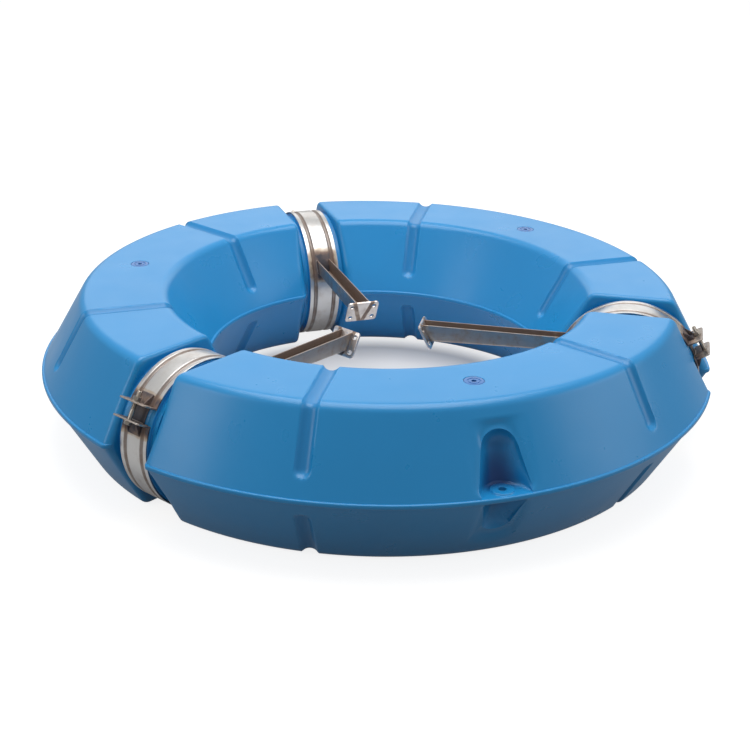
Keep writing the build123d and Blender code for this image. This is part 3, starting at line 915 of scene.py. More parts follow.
@dataclass(frozen=True)
class ClampFrame:
    """Places of one clamp, read from the frame's joints."""

    number: int

    @property
    def neck(self) -> Array:
        """Middle of the neck that the clamp holds."""
        return joint(f"clamp_swivel_{self.number}")[0]

    @property
    def across(self) -> Array:
        """Direction along the neck, which is across the band."""
        return joint(f"clamp_swivel_{self.number}")[1]

    @property
    def bolt(self) -> Array:
        """Middle of the bolt's line between the lugs."""
        return joint(f"bolt_turn_{self.number}")[0]

    @property
    def along(self) -> Array:
        """Direction along the bolt, towards its head."""
        return joint(f"bolt_turn_{self.number}")[1]

    @property
    def outwards(self) -> Array:
        """Direction from the neck's middle to the bolt."""
        return unit(self.bolt - self.neck)

    @property
    def radial(self) -> Array:
        """Direction from the ring's axis to the neck's middle, level."""
        return unit(self.neck * (1 - UP))

    @property
    def neck_distance(self) -> float:
        """Distance from the ring's axis to the neck's middle."""
        return math.hypot(*self.neck[:2])

    def on_band(self, profile: Array, angle: Array) -> Array:
        """A profile carried round the neck.

        Each point lies at its own radius in the direction of the angle, and at its
        own distance along the neck.

        Args:
            profile: rows of distance across and radius.
            angle: angles from the closure, positive towards the bolt's head.

        Returns:
            Points, angles by profile by 3.
        """
        direction = rays(angle) @ np.stack([self.outwards, self.along])
        return (self.neck + profile[None, :, 0, None] * self.across
                + profile[None, :, 1, None] * direction[:, None])

    def plane(self, origin: Array, x: Array, y: Array) -> Matrix:
        """Matrix of a plane with that origin and those two directions."""
        columns = np.column_stack([x, y, np.cross(x, y), origin])
        return Matrix([*columns.tolist(), [0, 0, 0, 1]])


@dataclass(frozen=True)
class BandClamp:
    """The ribbed band, its closing lugs and the bridge under its gap."""

    place: ClampFrame
    outer_radius: float = 0.137
    width: float = 0.066
    sheet: float = 0.002
    flat_width: float = 0.032
    rim_width: float = 0.008
    rib_depth: float = 0.0035
    rib_floor: float = 0.003
    rib_bend: float = 0.0011
    sheet_edge: float = 0.0006
    stations: int = 241
    lug_spacing: float = 0.029
    lug_thickness: float = 0.003
    lug_height: float = 0.027
    lug_corner: float = 0.006
    lug_edge: float = 0.0005
    foot_length: float = 0.022
    foot_thickness: float = 0.0025
    gusset_spacing: float = 0.026
    gusset_height: float = 0.012
    gusset_edge: float = 0.0004
    bolt_hole_radius: float = 0.0045
    bridge_radius: float = 0.13355
    bridge_sheet: float = 0.0012
    bridge_edge: float = 0.0003
    bridge_half_angle: float = math.radians(14)
    arm_half_width: float = 0.015
    arm_middle: float = 0.055
    arm_half_depth: float = 0.016
    lug_tint_reach: float = 0.023
    arm_tint_reach: float = 0.026
    inner_fade: float = 0.05
    # Painted shade in the ribs, and darker towards the bottom of the band.
    rib_painted_shade_half: float = 0.0052
    rib_painted_shade_side: float = 0.0016
    low_painted_shade: float = 0.5
    low_painted_shade_below: float = 0.02
    low_painted_shade_over: float = 0.09
    lug_tint_from: float = 0.010
    lug_tint_over: float = 0.014
    bead_radius: float = 0.0014

    def band_profile(self) -> Array:
        """Closed profile of the ribbed sheet: outer line with its ribs, then the inner line."""
        half, flat = self.width / 2, self.flat_width / 2
        rim = half - self.rim_width
        floor = (flat + rim - self.rib_floor) / 2
        low = self.outer_radius - self.rib_depth
        right = np.array([[flat, self.outer_radius], [floor, low], [floor + self.rib_floor, low],
                          [rim, self.outer_radius], [half, self.outer_radius]])
        outer = np.vstack([right[::-1] * np.array([-1, 1]), right])
        corners = np.vstack([outer, outer[::-1] - np.array([0, self.sheet])])
        cuts = np.full(len(corners), self.rib_bend)
        cuts[[0, 9, 10, 19]] = self.sheet_edge
        return rounded_loop(corners, cuts)

    def band(self) -> bpy.types.Object:
        """The band: its profile carried round the neck from one side of the gap to the other."""
        gap = math.asin(self.lug_spacing / 2 / self.outer_radius)
        angle = np.linspace(gap, FULL - gap, self.stations)
        profile = self.band_profile()
        run = angle[:, None] * self.outer_radius
        uv = np.stack(np.broadcast_arrays(run, lengths_along(profile)), axis=-1)
        parts = MeshParts()
        parts.add_carried(self.place.on_band(profile, angle), uv)
        piece = parts.build(f"band_{self.place.number}")
        self.mark_band(piece)
        return piece

    def mark_band(self, piece: bpy.types.Object) -> None:
        """Marks weld tint at the lugs and the arm's root, and painted shade in the ribs and low
        down.

        The tint falls off with the distance along the band from the middle of a lug's
        foot, and with the distance from the arm's foot on the band's inner side.

        Args:
            piece: the finished band.
        """
        place = self.place
        points = mesh_points(piece) - place.neck
        across = np.abs(points @ place.across)
        angle = np.abs(np.arctan2(points @ place.along, points @ place.outwards))
        away = angle * self.outer_radius - self.lug_spacing / 2 - self.foot_length / 2
        lugs = smooth_step(1 - np.abs(away) / self.lug_tint_reach)
        height = points[:, 2]
        inner = smooth_step(-(points @ place.radial) / self.inner_fade)
        beside = np.maximum(0.0, np.abs(height - self.arm_middle) - self.arm_half_depth)
        reach = np.hypot(beside, np.maximum(0.0, across - self.arm_half_width))
        root = inner * smooth_step(1 - reach / self.arm_tint_reach)
        write_attribute(piece, Attribute.WELD_TINT, np.maximum(lugs, root))
        # Painted shade in the ribs, and darker towards the bottom of the band.
        rib_middle = (self.flat_width / 2 + self.width / 2 - self.rim_width) / 2
        beside_rib = np.abs(across - rib_middle)
        ribs = smooth_step((self.rib_painted_shade_half - beside_rib) / self.rib_painted_shade_side)
        low = self.low_painted_shade * smooth_step(-(height + self.low_painted_shade_below) / self.low_painted_shade_over)
        write_attribute(piece, Attribute.GRIME, np.maximum(ribs, low))

    def lug(self, side: int) -> bpy.types.Object:
        """One closing lug: an upright plate, a foot that follows the band and two gussets.

        Args:
            side: 1 for the lug under the bolt's head, -1 for the other one.

        Returns:
            The finished piece.
        """
        place, inner_face = self.place, self.lug_spacing / 2
        parts = MeshParts()
        face = inner_face + self.lug_thickness / 2
        bottom = math.sqrt(self.outer_radius**2 - (face + self.lug_thickness / 2) ** 2) + 0.0002
        cuts = np.array([self.sheet_edge, self.sheet_edge, self.lug_corner, self.lug_corner])
        outline = rounded_box(self.width / 2, bottom, self.outer_radius + self.lug_height, cuts, 8)
        bolt_height = float(np.dot(place.bolt - place.neck, place.outwards))
        upright = place.plane(place.neck + side * face * place.along, place.across, place.outwards)
        parts.add_plate([outline, hole_loop((0.0, bolt_height), self.bolt_hole_radius)],
                        self.lug_thickness, self.lug_edge, upright)
        low = self.outer_radius + 0.0001
        high = low + self.foot_thickness
        strip = rounded_box(self.gusset_spacing / 2 + self.foot_thickness / 2, low, high,
                            np.full(4, self.sheet_edge), 3)
        start = (inner_face + self.lug_thickness * 0.7) / self.outer_radius
        end = (inner_face + self.foot_length) / self.outer_radius
        parts.add_carried(place.on_band(strip, side * np.linspace(start, end, 12)))
        tall = self.outer_radius + self.gusset_height
        near = inner_face + self.lug_thickness * 0.8
        far = inner_face + self.foot_length - 0.001
        seat_near, seat_far = (math.sqrt(high**2 - edge**2) - 0.0006 for edge in (near, far))
        gusset = np.array([[near, seat_near], [far, seat_far], [far, seat_far + 0.0012],
                           [near + 0.001, tall], [near, tall]])
        gusset = (gusset * np.array([side, 1]))[::side]
        for offset in (-1, 1):
            centre = place.neck + offset * self.gusset_spacing / 2 * place.across
            parts.add_plate([gusset], self.foot_thickness, self.gusset_edge,
                            place.plane(centre, place.along, place.outwards))
        piece = parts.build(f"{'head' if side > 0 else 'nut'}_lug_{place.number}")
        away = (mesh_points(piece) - place.neck) @ place.outwards - self.outer_radius
        tint = smooth_step(1 - (away - self.lug_tint_from) / self.lug_tint_over)
        write_attribute(piece, Attribute.WELD_TINT, tint)
        return piece

    def lug_welds(self) -> bpy.types.Object:
        """Weld beads along both lugs, where they stand on the band."""
        parts = MeshParts()
        place, reach = self.place, self.flat_width / 2 - 0.001
        across = np.linspace(-reach, reach, 90)[:, None] * place.across
        for side in (-1, 1):
            for lean in (self.lug_spacing / 2, self.lug_spacing / 2 + self.foot_length):
                angle = side * lean / self.outer_radius
                direction = math.cos(angle) * place.outwards + math.sin(angle) * place.along
                path = place.neck + across + (self.outer_radius + 0.0003) * direction
                seed = place.number * 7 + side
                parts.add_carried(weld_bead(path, direction, self.bead_radius, seed))
        return parts.build(f"lug_welds_{place.number}")

    def bridge(self) -> bpy.types.Object:
        """The thin strip under the gap, which closes the clamp over the necks' joint."""
        high = self.bridge_radius + self.bridge_sheet
        profile = rounded_box(self.flat_width / 2 - 0.0003, self.bridge_radius, high,
                              np.full(4, self.bridge_edge), 2)
        angle = np.linspace(-self.bridge_half_angle, self.bridge_half_angle, 33)
        uv = np.stack(np.broadcast_arrays(angle[:, None] * high, profile[:, 0]), axis=-1)
        parts = MeshParts()
        parts.add_carried(self.place.on_band(profile, angle), uv)
        piece = parts.build(f"bridge_{self.place.number}")
        # The whole bridge gets full tint, which paints it dark grey: painted shade for the dark of
        # the clamp's gap.
        write_attribute(piece, Attribute.WELD_TINT, np.full(len(piece.data.vertices), 1.0))
        return piece


SCALE_HEIGHT, SCALE_LENGTH = 0.10, 0.0017
WOBBLES = ((0.08, 0.0061), (0.05, 0.0023))
BEAD_PRESS = 0.75
BEAD_TIP = 0.4


def weld_bead(path: Array, upwards: Array, size: float, seed: int) -> Array:
    """A weld bead along a path.

    The radius is the size times one plus a small sawtooth along the path, for the
    overlapping scales, plus a slow wobble; the section is a circle pressed down.

    Args:
        path: points along the bead's middle.
        upwards: direction away from the metal, one for all points or one for each.
        size: mean radius.
        seed: chooses the wobble's phases.

    Returns:
        Rings of points, stations by section points by 3.
    """
    up = np.broadcast_to(upwards, path.shape)
    side = unit(np.cross(unit(np.gradient(path, axis=0)), up))
    length = lengths_along(path)
    phase = np.random.default_rng(seed + 50).uniform(0, FULL, 3)
    scale = SCALE_HEIGHT * ((length / SCALE_LENGTH + phase[0] / 6) % 1.0)
    wobble = sum(height * np.sin(length / wave + shift)
                 for (height, wave), shift in zip(WOBBLES, phase[1:]))
    ends = smooth_step(np.minimum(length, length[-1] - length) / (1.5 * size))
    taper = ends * (1 - BEAD_TIP) + BEAD_TIP
    radius = (size * (1 + scale + wobble) * taper)[:, None, None]
    angle = circle(12)[None, :, None]
    section = np.cos(angle) * side[:, None] + BEAD_PRESS * np.sin(angle) * up[:, None]
    return path[:, None] + radius * section


@dataclass(frozen=True)
class Fasteners:
    """Bolt, nut and washers of one closure."""

    place: ClampFrame
    across_flats: float = 0.013
    head_height: float = 0.0053
    nut_height: float = 0.0068
    shank_radius: float = 0.004
    length: float = 0.055
    bearing: float = 0.0192
    pitch: float = 0.00125
    thread_depth: float = 0.00055
    thread_length: float = 0.034
    rows_to_a_turn: int = 6
    countersink: float = 0.0006
    tip_chamfer: float = 0.001
    washer_radius: float = 0.008
    washer_thickness: float = 0.0016
    chamfer_slope: float = math.tan(math.radians(30))
    crown_share: float = 0.475
    count: int = 48

    @property
    def crown_radius(self) -> float:
        """Radius of the flat end inside the chamfered corners."""
        return self.across_flats * self.crown_share

    @property
    def angle(self) -> Array:
        """Angles of the points round the bolt's axis."""
        return circle(self.count)

    def hexagon(self) -> tuple[Array, Array]:
        """Radius of the hexagon and drop of its chamfered corners, round the axis.

        The drop is the excess over the flat end's radius, times the chamfer's slope.
        """
        side = hexagon_radius(self.angle, self.across_flats)
        return side, np.maximum(0.0, side - self.crown_radius) * self.chamfer_slope

    def turned(self, name: str, rows: Rows) -> bpy.types.Object:
        """A piece whose rows run round the bolt's axis."""
        parts = MeshParts()
        parts.add_turned(rows, self.place.bolt, self.place.along, self.count)
        return parts.build(f"{name}_{self.place.number}")

    def bolt(self) -> bpy.types.Object:
        """Hexagon bolt: crowned head, plain shank and a helical thread.

        The thread's radius is the shank's less a depth that follows a cosine of the
        turns made along the axis, so that its crest climbs one pitch in each turn.
        """
        side, drop = self.hexagon()
        head, inner, edge = self.head_height, self.crown_radius, 0.0004
        rows = [(0.0, head), (inner * 0.6, head), (inner, head), (side, head - drop), (side, edge),
                (side - edge, 0.0), (self.shank_radius, 0.0)]
        start = self.length - self.thread_length
        climb = np.arange(start, self.length - self.tip_chamfer, self.pitch / self.rows_to_a_turn)
        for value in (0.0005, *climb):
            fade = np.clip((value - start) / (2 * self.pitch), 0, 1)
            wave = 0.5 + 0.5 * np.cos(FULL * value / self.pitch - self.angle)
            rows.append((self.shank_radius - self.thread_depth * fade * wave, -value))
        rows += [(self.shank_radius - self.tip_chamfer, -self.length), (0.0, -self.length)]
        return self.turned("bolt", [(radius, height + self.bearing) for radius, height in rows])

    def nut(self) -> bpy.types.Object:
        """Hexagon nut with both ends crowned and a countersunk hole."""
        side, drop = self.hexagon()
        inner, bore, sink = self.crown_radius, self.shank_radius + 0.00008, self.countersink
        tall = self.nut_height
        rows = [(bore, sink), (bore + sink, 0.0), (inner, 0.0), (side, drop), (side, tall - drop),
                (inner, tall), (bore + sink, tall), (bore, tall - sink), (bore, sink)]
        return self.turned("nut", [(radius, -self.bearing - height) for radius, height in rows])

    def washers(self) -> bpy.types.Object:
        """The two washers, each a ring of rounded rectangular section."""
        bore, thick = self.shank_radius + 0.0002, self.washer_thickness
        half = (self.washer_radius - bore) / 2
        ring = rounded_box(half, 0.0, thick, np.full(4, 0.0003), 2) + np.array([bore + half, 0.0])
        parts = MeshParts()
        for side in (-1, 1):
            rows = [(radius, side * (self.bearing - 0.00005 - height))
                    for radius, height in (*ring, ring[0])]
            parts.add_turned(rows, self.place.bolt, self.place.along, self.count)
        return parts.build(f"washers_{self.place.number}")


@dataclass(frozen=True)
class PumpArm:
    """The channel arm and the tilted plate that carry the aerator's pump."""

    place: ClampFrame
    band_radius: float = 0.137
    width: float = 0.030
    sheet: float = 0.0025
    sheet_edge: float = 0.0005
    bend: float = 0.0045
    top: float = 0.208
    depth_at_plate: float = 0.033
    depth_at_clamp: float = 0.025
    plate_radius: float = 0.085
    plate_tilt: float = math.radians(27)
    plate_width: float = 0.065
    plate_length: float = 0.052
    plate_thickness: float = 0.004
    plate_corner: float = 0.007
    plate_edge: float = 0.0006
    hole_radius: float = 0.0045
    hole_across: float = 0.046
    hole_down: float = 0.030
    plate_above: float = 0.001
    stations: int = 60
    bead_radius: float = 0.0016
    band_tint_reach: float = 0.035
    plate_tint_reach: float = 0.018

    def plate_back(self, height: Array) -> Array:
        """Distance from the ring's axis to the plate's back, which leans out as it goes down."""
        lean = math.tan(self.plate_tilt)
        return (self.plate_radius + self.plate_thickness / math.cos(self.plate_tilt)
                + (self.top + self.plate_above - height) * lean)

    def band_face(self, height: Array) -> Array:
        """Distance from the ring's axis to the band's inner side, a circle about the neck."""
        above = height - self.place.neck[2]
        return self.place.neck_distance - np.sqrt(self.band_radius**2 - above**2)

    def profile(self) -> tuple[Array, Array]:
        """Closed section of the channel, open at its top.

        Returns:
            Rows of distance across and height above the channel's floor, and how far
            each point keeps to the top edge instead of the floor.
        """
        half, inner = self.width / 2, self.width / 2 - self.sheet
        corners = np.array([[-half, 1.0], [-half, 0], [half, 0], [half, 1.0],
                            [inner, 1.0], [inner, self.sheet], [-inner, self.sheet], [-inner, 1.0]])
        edge, tight = self.sheet_edge, self.bend - self.sheet
        cuts = np.array([edge, self.bend, self.bend, edge, edge, tight, tight, edge])
        loop = rounded_loop(corners, cuts, steps=5)
        keeps_top = (loop[:, 1] > 0.5).astype(float)
        loop[:, 1] -= keeps_top
        return loop, keeps_top

    def channel_rings(self) -> Array:
        """Rings of the channel's section, from the plate to the band.

        Along each of the section's points the distance from the axis runs evenly
        from the plate's back to the band, and the floor rises evenly with it.
        """
        loop, keeps_top = self.profile()
        low_at_plate = self.top - self.depth_at_plate
        start = self.plate_back(np.array(low_at_plate))
        rise = (self.depth_at_plate - self.depth_at_clamp) / (self.place.neck_distance - start)
        share = np.linspace(0, 1, self.stations)[:, None]
        distance = start + (self.band_radius * 2 - start) * share * np.ones(len(loop))
        for _ in range(4):
            floor = low_at_plate + rise * (distance - start)
            height = floor * (1 - keeps_top) + self.top * keeps_top + loop[:, 1]
            back = self.plate_back(height)
            distance = back + (self.band_face(height) - back) * share
        return (distance[..., None] * self.place.radial + loop[:, :1] * self.place.across
                + height[..., None] * UP)

    def channel(self) -> bpy.types.Object:
        """The arm: a folded channel, open upwards, cut to the plate and the band."""
        rings = self.channel_rings()
        loop, _ = self.profile()
        distance = np.linalg.norm((rings - rings[:1])[..., :2], axis=-1)
        across = np.broadcast_to(loop[:, 0] + 3 * loop[:, 1], distance.shape)
        uv = np.stack([distance, across], axis=-1)
        parts = MeshParts()
        parts.add_carried(rings, uv)
        piece = parts.build(f"pump_arm_{self.place.number}")
        points = mesh_points(piece)
        radial = points @ self.place.radial
        share = (radial - self.plate_radius) / (self.place.neck_distance - self.plate_radius)
        floor = self.top - self.depth_at_plate + (self.depth_at_plate - self.depth_at_clamp) * share
        # Painted shade on the channel's inner faces.
        inside = np.abs(points @ self.place.across) < self.width / 2 - self.sheet * 0.7
        inside &= points[:, 2] > floor + self.sheet * 0.6
        write_attribute(piece, Attribute.GRIME, inside.astype(float))
        end = smooth_step(1 - (self.band_face(points[:, 2]) - radial) / self.band_tint_reach)
        start = smooth_step(1 - (radial - self.plate_back(points[:, 2])) / self.plate_tint_reach)
        write_attribute(piece, Attribute.WELD_TINT, np.maximum(end, 0.7 * start))
        return piece

    def plate(self) -> bpy.types.Object:
        """The tilted plate with its four bolt holes."""
        half_length = self.plate_length / 2
        outline = rounded_box(self.plate_width / 2, -half_length, half_length,
                              np.full(4, self.plate_corner), 8)
        holes = [hole_loop((x * self.hole_across / 2, y * self.hole_down / 2), self.hole_radius)
                 for x in (-1, 1) for y in (-1, 1)]
        cosine, sine = math.cos(self.plate_tilt), math.sin(self.plate_tilt)
        up = cosine * UP - sine * self.place.radial
        normal = cosine * self.place.radial + sine * UP
        top_edge = self.plate_radius * self.place.radial + (self.top + self.plate_above) * UP
        centre = top_edge - up * half_length + normal * self.plate_thickness / 2
        parts = MeshParts()
        parts.add_plate([outline, *holes], self.plate_thickness, self.plate_edge,
                        self.place.plane(centre, self.place.across, up))
        return parts.build(f"arm_plate_{self.place.number}")

    def welds(self) -> bpy.types.Object:
        """Weld beads round the channel's foot on the band and on the plate's back."""
        rings = self.channel_rings()
        outside = slice(3, 21)  # the section's outer points, without those of its upper edges
        parts = MeshParts()
        for station, seed, inwards in ((0, 11, self.place.radial), (-1, 12, -self.place.radial)):
            line = rings[station, outside]
            length = lengths_along(line)
            even = np.linspace(0, length[-1], 150)
            path = np.stack([np.interp(even, length, line[:, axis]) for axis in range(3)], axis=1)
            parts.add_carried(weld_bead(path + inwards * 0.0006, inwards, self.bead_radius,
                                        seed + self.place.number))
        return parts.build(f"arm_welds_{self.place.number}")


@dataclass(frozen=True)
class FillerPlug:
    """The round screw plug on top of a float."""

    number: int
    flange_radius: float = 0.0175
    flange_thickness: float = 0.0025
    flange_round: float = 0.0008
    seat_below_top: float = 0.00275
    shank_radius: float = 0.01392
    shank_length: float = 0.013
    ring_radius: float = 0.0105
    ring_width: float = 0.002
    ring_depth: float = 0.0008
    key_across_flats: float = 0.008
    key_depth: float = 0.007
    thread_pitch: float = 0.0023
    thread_depth: float = 0.0008
    tip_chamfer: float = 0.001
    count: int = 72

    def plug(self) -> bpy.types.Object:
        """The plug: a key socket, a ringed flange and a threaded shank.

        All rows are circles but the socket's, which are hexagons, and the thread's,
        whose radius follows a cosine of the turns made along the axis.
        """
        angle = circle(self.count)
        socket = hexagon_radius(angle, self.key_across_flats)
        top, shank, edge = self.flange_thickness, self.shank_radius, 0.0003
        inner, outer = (self.ring_radius + side * self.ring_width / 2 for side in (-1, 1))
        rows = [(0.0, top - self.key_depth), (socket, top - self.key_depth), (socket, top - 0.0004),
                (socket + 0.0004, top), (inner - edge, top), (inner, top - edge),
                (inner, top - self.ring_depth), (outer, top - self.ring_depth), (outer, top - edge),
                (outer + edge, top)]
        rows += [(self.flange_radius - self.flange_round * (1 - math.sin(turn)),
                  top - self.flange_round * (1 - math.cos(turn)))
                 for turn in np.linspace(0, QUARTER, 5)]
        rows += [(self.flange_radius, 0.0), (shank, 0.0)]
        for value in np.linspace(0.0006, self.shank_length - self.tip_chamfer, 40):
            wave = 0.5 + 0.5 * np.cos(FULL * value / self.thread_pitch - angle)
            cut = self.thread_depth * min(value / self.thread_pitch, 1) * wave
            rows.append((shank - cut, -value))
        rows += [(shank - self.tip_chamfer, -self.shank_length), (0.0, -self.shank_length)]
        centre = joint(f"plug_turn_{self.number}")[0] - self.seat_below_top * UP
        parts = MeshParts()
        parts.add_turned(rows, centre, UP, self.count)
        return parts.build(f"plug_{self.number}")


class Nodes:
    """Short ways to add and join the nodes of one material or group."""

    def __init__(self, tree: bpy.types.NodeTree) -> None:
        """Keeps the tree that takes the nodes."""
        self.tree = tree

    def add(self, kind: str, **settings: object) -> bpy.types.Node:
        """Adds a node and sets its own properties."""
        node = self.tree.nodes.new(f"ShaderNode{kind}")
        for name, value in settings.items():
            setattr(node, name, value)
        return node

    def link(self, source: bpy.types.NodeSocket, target: bpy.types.NodeSocket) -> None:
        """Joins an output to an input."""
        self.tree.links.new(source, target)

    def feed(self, socket: bpy.types.NodeSocket, value: object) -> None:
        """Gives an input a plain value, or joins it to an output."""
        if isinstance(value, bpy.types.NodeSocket):
            self.link(value, socket)
        else:
            socket.default_value = value

    def filled(self, kind: str, inputs: dict[str | int, object],
               **settings: object) -> bpy.types.Node:
        """Adds a node and feeds its inputs, given by name or number."""
        node = self.add(kind, **settings)
        for name, value in inputs.items():
            self.feed(node.inputs[name], value)
        return node

    def math(self, operation: str, *values: object) -> bpy.types.NodeSocket:
        """A math node's result."""
        return self.filled("Math", dict(enumerate(values)), operation=operation).outputs[0]

    def mix(self, factor: object, first: object, second: object) -> bpy.types.NodeSocket:
        """A mix of two colours."""
        inputs = {0: factor, 6: first, 7: second}
        return self.filled("Mix", inputs, data_type="RGBA", blend_type="MIX").outputs[2]

    def noise(self, vector: object, scale: float, detail: float,
              roughness: float = 0.5) -> bpy.types.NodeSocket:
        """A noise texture's value."""
        inputs = {"Vector": vector, "Scale": scale, "Detail": detail, "Roughness": roughness}
        return self.filled("TexNoise", inputs).outputs["Fac"]

    def swing(self, value: object, size: object, middle: object) -> bpy.types.NodeSocket:
        """A value of 0 to 1 that swings about a middle by a size."""
        return self.math("MULTIPLY_ADD", self.math("SUBTRACT", value, 0.5), size, middle)

    def stretch(self, vector: object, scale: tuple[float, float, float]) -> bpy.types.NodeSocket:
        """Coordinates scaled by three factors."""
        return self.filled("Mapping", {"Vector": vector, "Scale": scale}).outputs[0]

    def ramp(self, value: object, low: float, high: float) -> bpy.types.NodeSocket:
        """A value's place between two limits, from 0 to 1, smoothed."""
        inputs = {"Value": value, "From Min": low, "From Max": high}
        return self.filled("MapRange", inputs, interpolation_type="SMOOTHSTEP").outputs["Result"]

    def object_place(self) -> bpy.types.NodeSocket:
        """The piece's own coordinates."""
        return self.add("TexCoord").outputs["Object"]

    def surface_map(self) -> bpy.types.NodeSocket:
        """The piece's map coordinates."""
        return self.add("UVMap", uv_map="surface").outputs[0]

    def attribute(self, kind: Attribute) -> bpy.types.NodeSocket:
        """The value of one of the pieces' vertex attributes."""
        return self.add("Attribute", attribute_name=kind.value).outputs["Fac"]

    def brightened(self, colour: object, factor: object) -> bpy.types.NodeSocket:
        """A colour whose brightness is multiplied by a factor."""
        return self.filled("HueSaturation", {"Color": colour, "Value": factor}).outputs[0]

    def bump(self, height: object, strength: object, distance: float) -> bpy.types.NodeSocket:
        """A normal that is bent by a height."""
        inputs = {"Strength": strength, "Distance": distance, "Height": height}
        return self.filled("Bump", inputs).outputs[0]


GROUP_SOCKETS = {"Colour": "Base Color", "Roughness": "Roughness", "Metallic": "Metallic",
                 "Normal": "Normal"}
# Deep blue of the floats' painted shade.
PAINTED_SHADE_BLUE = (0.001, 0.020, 0.125, 1)
# At full tint the last of these, dark grey, also paints the bridge as shade.
TINTS = ((0.05, 0.40, (0.54, 0.45, 0.36, 1)),  # straw
         (0.35, 0.70, (0.22, 0.15, 0.12, 1)),  # brown
         (0.65, 1.00, (0.055, 0.055, 0.07, 1)))  # dark grey
STAIN_COLOUR = (0.30, 0.20, 0.14, 1)
# Brown of the steel's painted shade in ribs, low on the bands and inside the channels.
PAINTED_SHADE_COLOUR = (0.20, 0.135, 0.105, 1)


def new_group(name: str, inputs: dict[str, object],
              outputs: tuple[str, ...]) -> tuple[Nodes, bpy.types.Node, bpy.types.Node]:
    """A shader group with named sockets.

    Args:
        name: the group's name.
        inputs: default value by name: a colour for Colour, a number for the others.
        outputs: names of the outputs, of which Normal is a vector.

    Returns:
        The group's nodes, with its input and its output node.
    """
    group = bpy.data.node_groups.new(name, "ShaderNodeTree")
    kinds = {"Colour": "Color", "Normal": "Vector"}
    for label, value in inputs.items():
        kind = f"NodeSocket{kinds.get(label, 'Float')}"
        socket = group.interface.new_socket(name=label, in_out="INPUT", socket_type=kind)
        socket.default_value = value
    for label in outputs:
        kind = f"NodeSocket{kinds.get(label, 'Float')}"
        group.interface.new_socket(name=label, in_out="OUTPUT", socket_type=kind)
    ends = [group.nodes.new(f"NodeGroup{end}") for end in ("Input", "Output")]
    return Nodes(group), *ends


def moulded_skin() -> None:
    """Group for moulded plastic: cloudy colour, slight waves and painted shade in the recesses and
    grooves.
    """
    nodes, source, result = new_group(
        "moulded_skin", {"Colour": (0.1, 0.3, 0.6, 1), "Cloud": 0.1, "Peel": 0.1, "Roughness": 0.4},
        ("Colour", "Roughness", "Normal"))
    given, wanted = source.outputs, result.inputs
    place = nodes.object_place()
    cloud = nodes.math("SUBTRACT", nodes.noise(place, 3.2, 4, 0.55), 0.5)
    cloudy = nodes.math("ADD", nodes.math("MULTIPLY", cloud, given["Cloud"]), 1.0)
    painted_shade = nodes.attribute(Attribute.GRIME)
    clean = nodes.brightened(given["Colour"], cloudy)
    # Painted shade: the colour turns deep blue, and the surface rougher, where the mark is.
    nodes.link(nodes.mix(nodes.math("MULTIPLY", painted_shade, 0.9), clean, PAINTED_SHADE_BLUE), wanted["Colour"])
    rough = nodes.swing(nodes.noise(place, 14.0, 4), 0.16, given["Roughness"])
    nodes.link(nodes.math("MULTIPLY_ADD", painted_shade, 0.15, rough), wanted["Roughness"])
    waves = nodes.math("MULTIPLY", nodes.noise(place, 11.0, 2, 0.4), 9.0)
    nodes.link(nodes.bump(waves, given["Peel"], 0.0004), wanted["Normal"])


def worked_steel() -> None:
    """Group for sheet steel: drawn streaks, stains, and weld tint and painted shade by attributes.

    The weld tint runs from straw over brown to dark grey as it grows, and is full over the bridge
    as painted shade. Tint, stains and painted shade also roughen the steel and make it less
    metallic.
    """
    nodes, source, result = new_group(
        "worked_steel", {"Colour": (0.6, 0.6, 0.6, 1), "Streak": 0.2, "Stain": 0.3,
                         "Roughness": 0.3, "Tint": 1.0, "Weld lines": 0.0},
        ("Colour", "Roughness", "Metallic", "Normal"))
    given, wanted = source.outputs, result.inputs
    place = nodes.object_place()
    streak = nodes.noise(nodes.stretch(nodes.surface_map(), (6.0, 1600.0, 1.0)), 1.0, 4, 0.65)
    stain = nodes.noise(place, 38.0, 5, 0.65)
    # The weld mark also carries the bridge's painted shade.
    weld = nodes.math("MAXIMUM", nodes.attribute(Attribute.WELD_TINT), given["Weld lines"])
    uneven = nodes.swing(nodes.noise(place, 60.0, 4), 0.9, weld)
    tint = nodes.math("MULTIPLY", nodes.math("MULTIPLY", uneven, nodes.ramp(weld, 0.02, 0.25)),
                      given["Tint"])
    colour = given["Colour"]
    for low, high, hue in TINTS:
        colour = nodes.mix(nodes.ramp(tint, low, high), colour, hue)
    dirt = nodes.math("MULTIPLY", nodes.ramp(stain, 0.42, 0.74), given["Stain"])
    # Painted shade, made patchy by the stain noise.
    patchy = nodes.math("MULTIPLY", nodes.attribute(Attribute.GRIME),
                        nodes.math("MULTIPLY_ADD", stain, 0.6, 0.45))
    colour = nodes.mix(patchy, nodes.mix(dirt, colour, STAIN_COLOUR), PAINTED_SHADE_COLOUR)
    drawn = nodes.swing(streak, given["Streak"], 1.0)
    nodes.link(nodes.brightened(colour, drawn), wanted["Colour"])
    rough = nodes.swing(streak, 0.15, given["Roughness"])
    for value, amount in ((nodes.ramp(tint, 0.1, 0.8), 0.18), (patchy, 0.15),
                          (nodes.ramp(stain, 0.5, 0.8), 0.1)):
        rough = nodes.math("MULTIPLY_ADD", value, amount, rough)
    nodes.link(rough, wanted["Roughness"])
    bare = 1.0
    for value, amount in ((nodes.ramp(tint, 0.2, 0.9), 0.7), (dirt, 0.5), (patchy, 0.5)):
        bare = nodes.math("SUBTRACT", bare, nodes.math("MULTIPLY", value, amount))
    nodes.link(nodes.math("MAXIMUM", bare, 0.1), wanted["Metallic"])
    dents = nodes.math("MULTIPLY_ADD", nodes.noise(place, 45.0, 2), 2.0, streak)
    nodes.link(nodes.bump(dents, 0.25, 0.00006), wanted["Normal"])


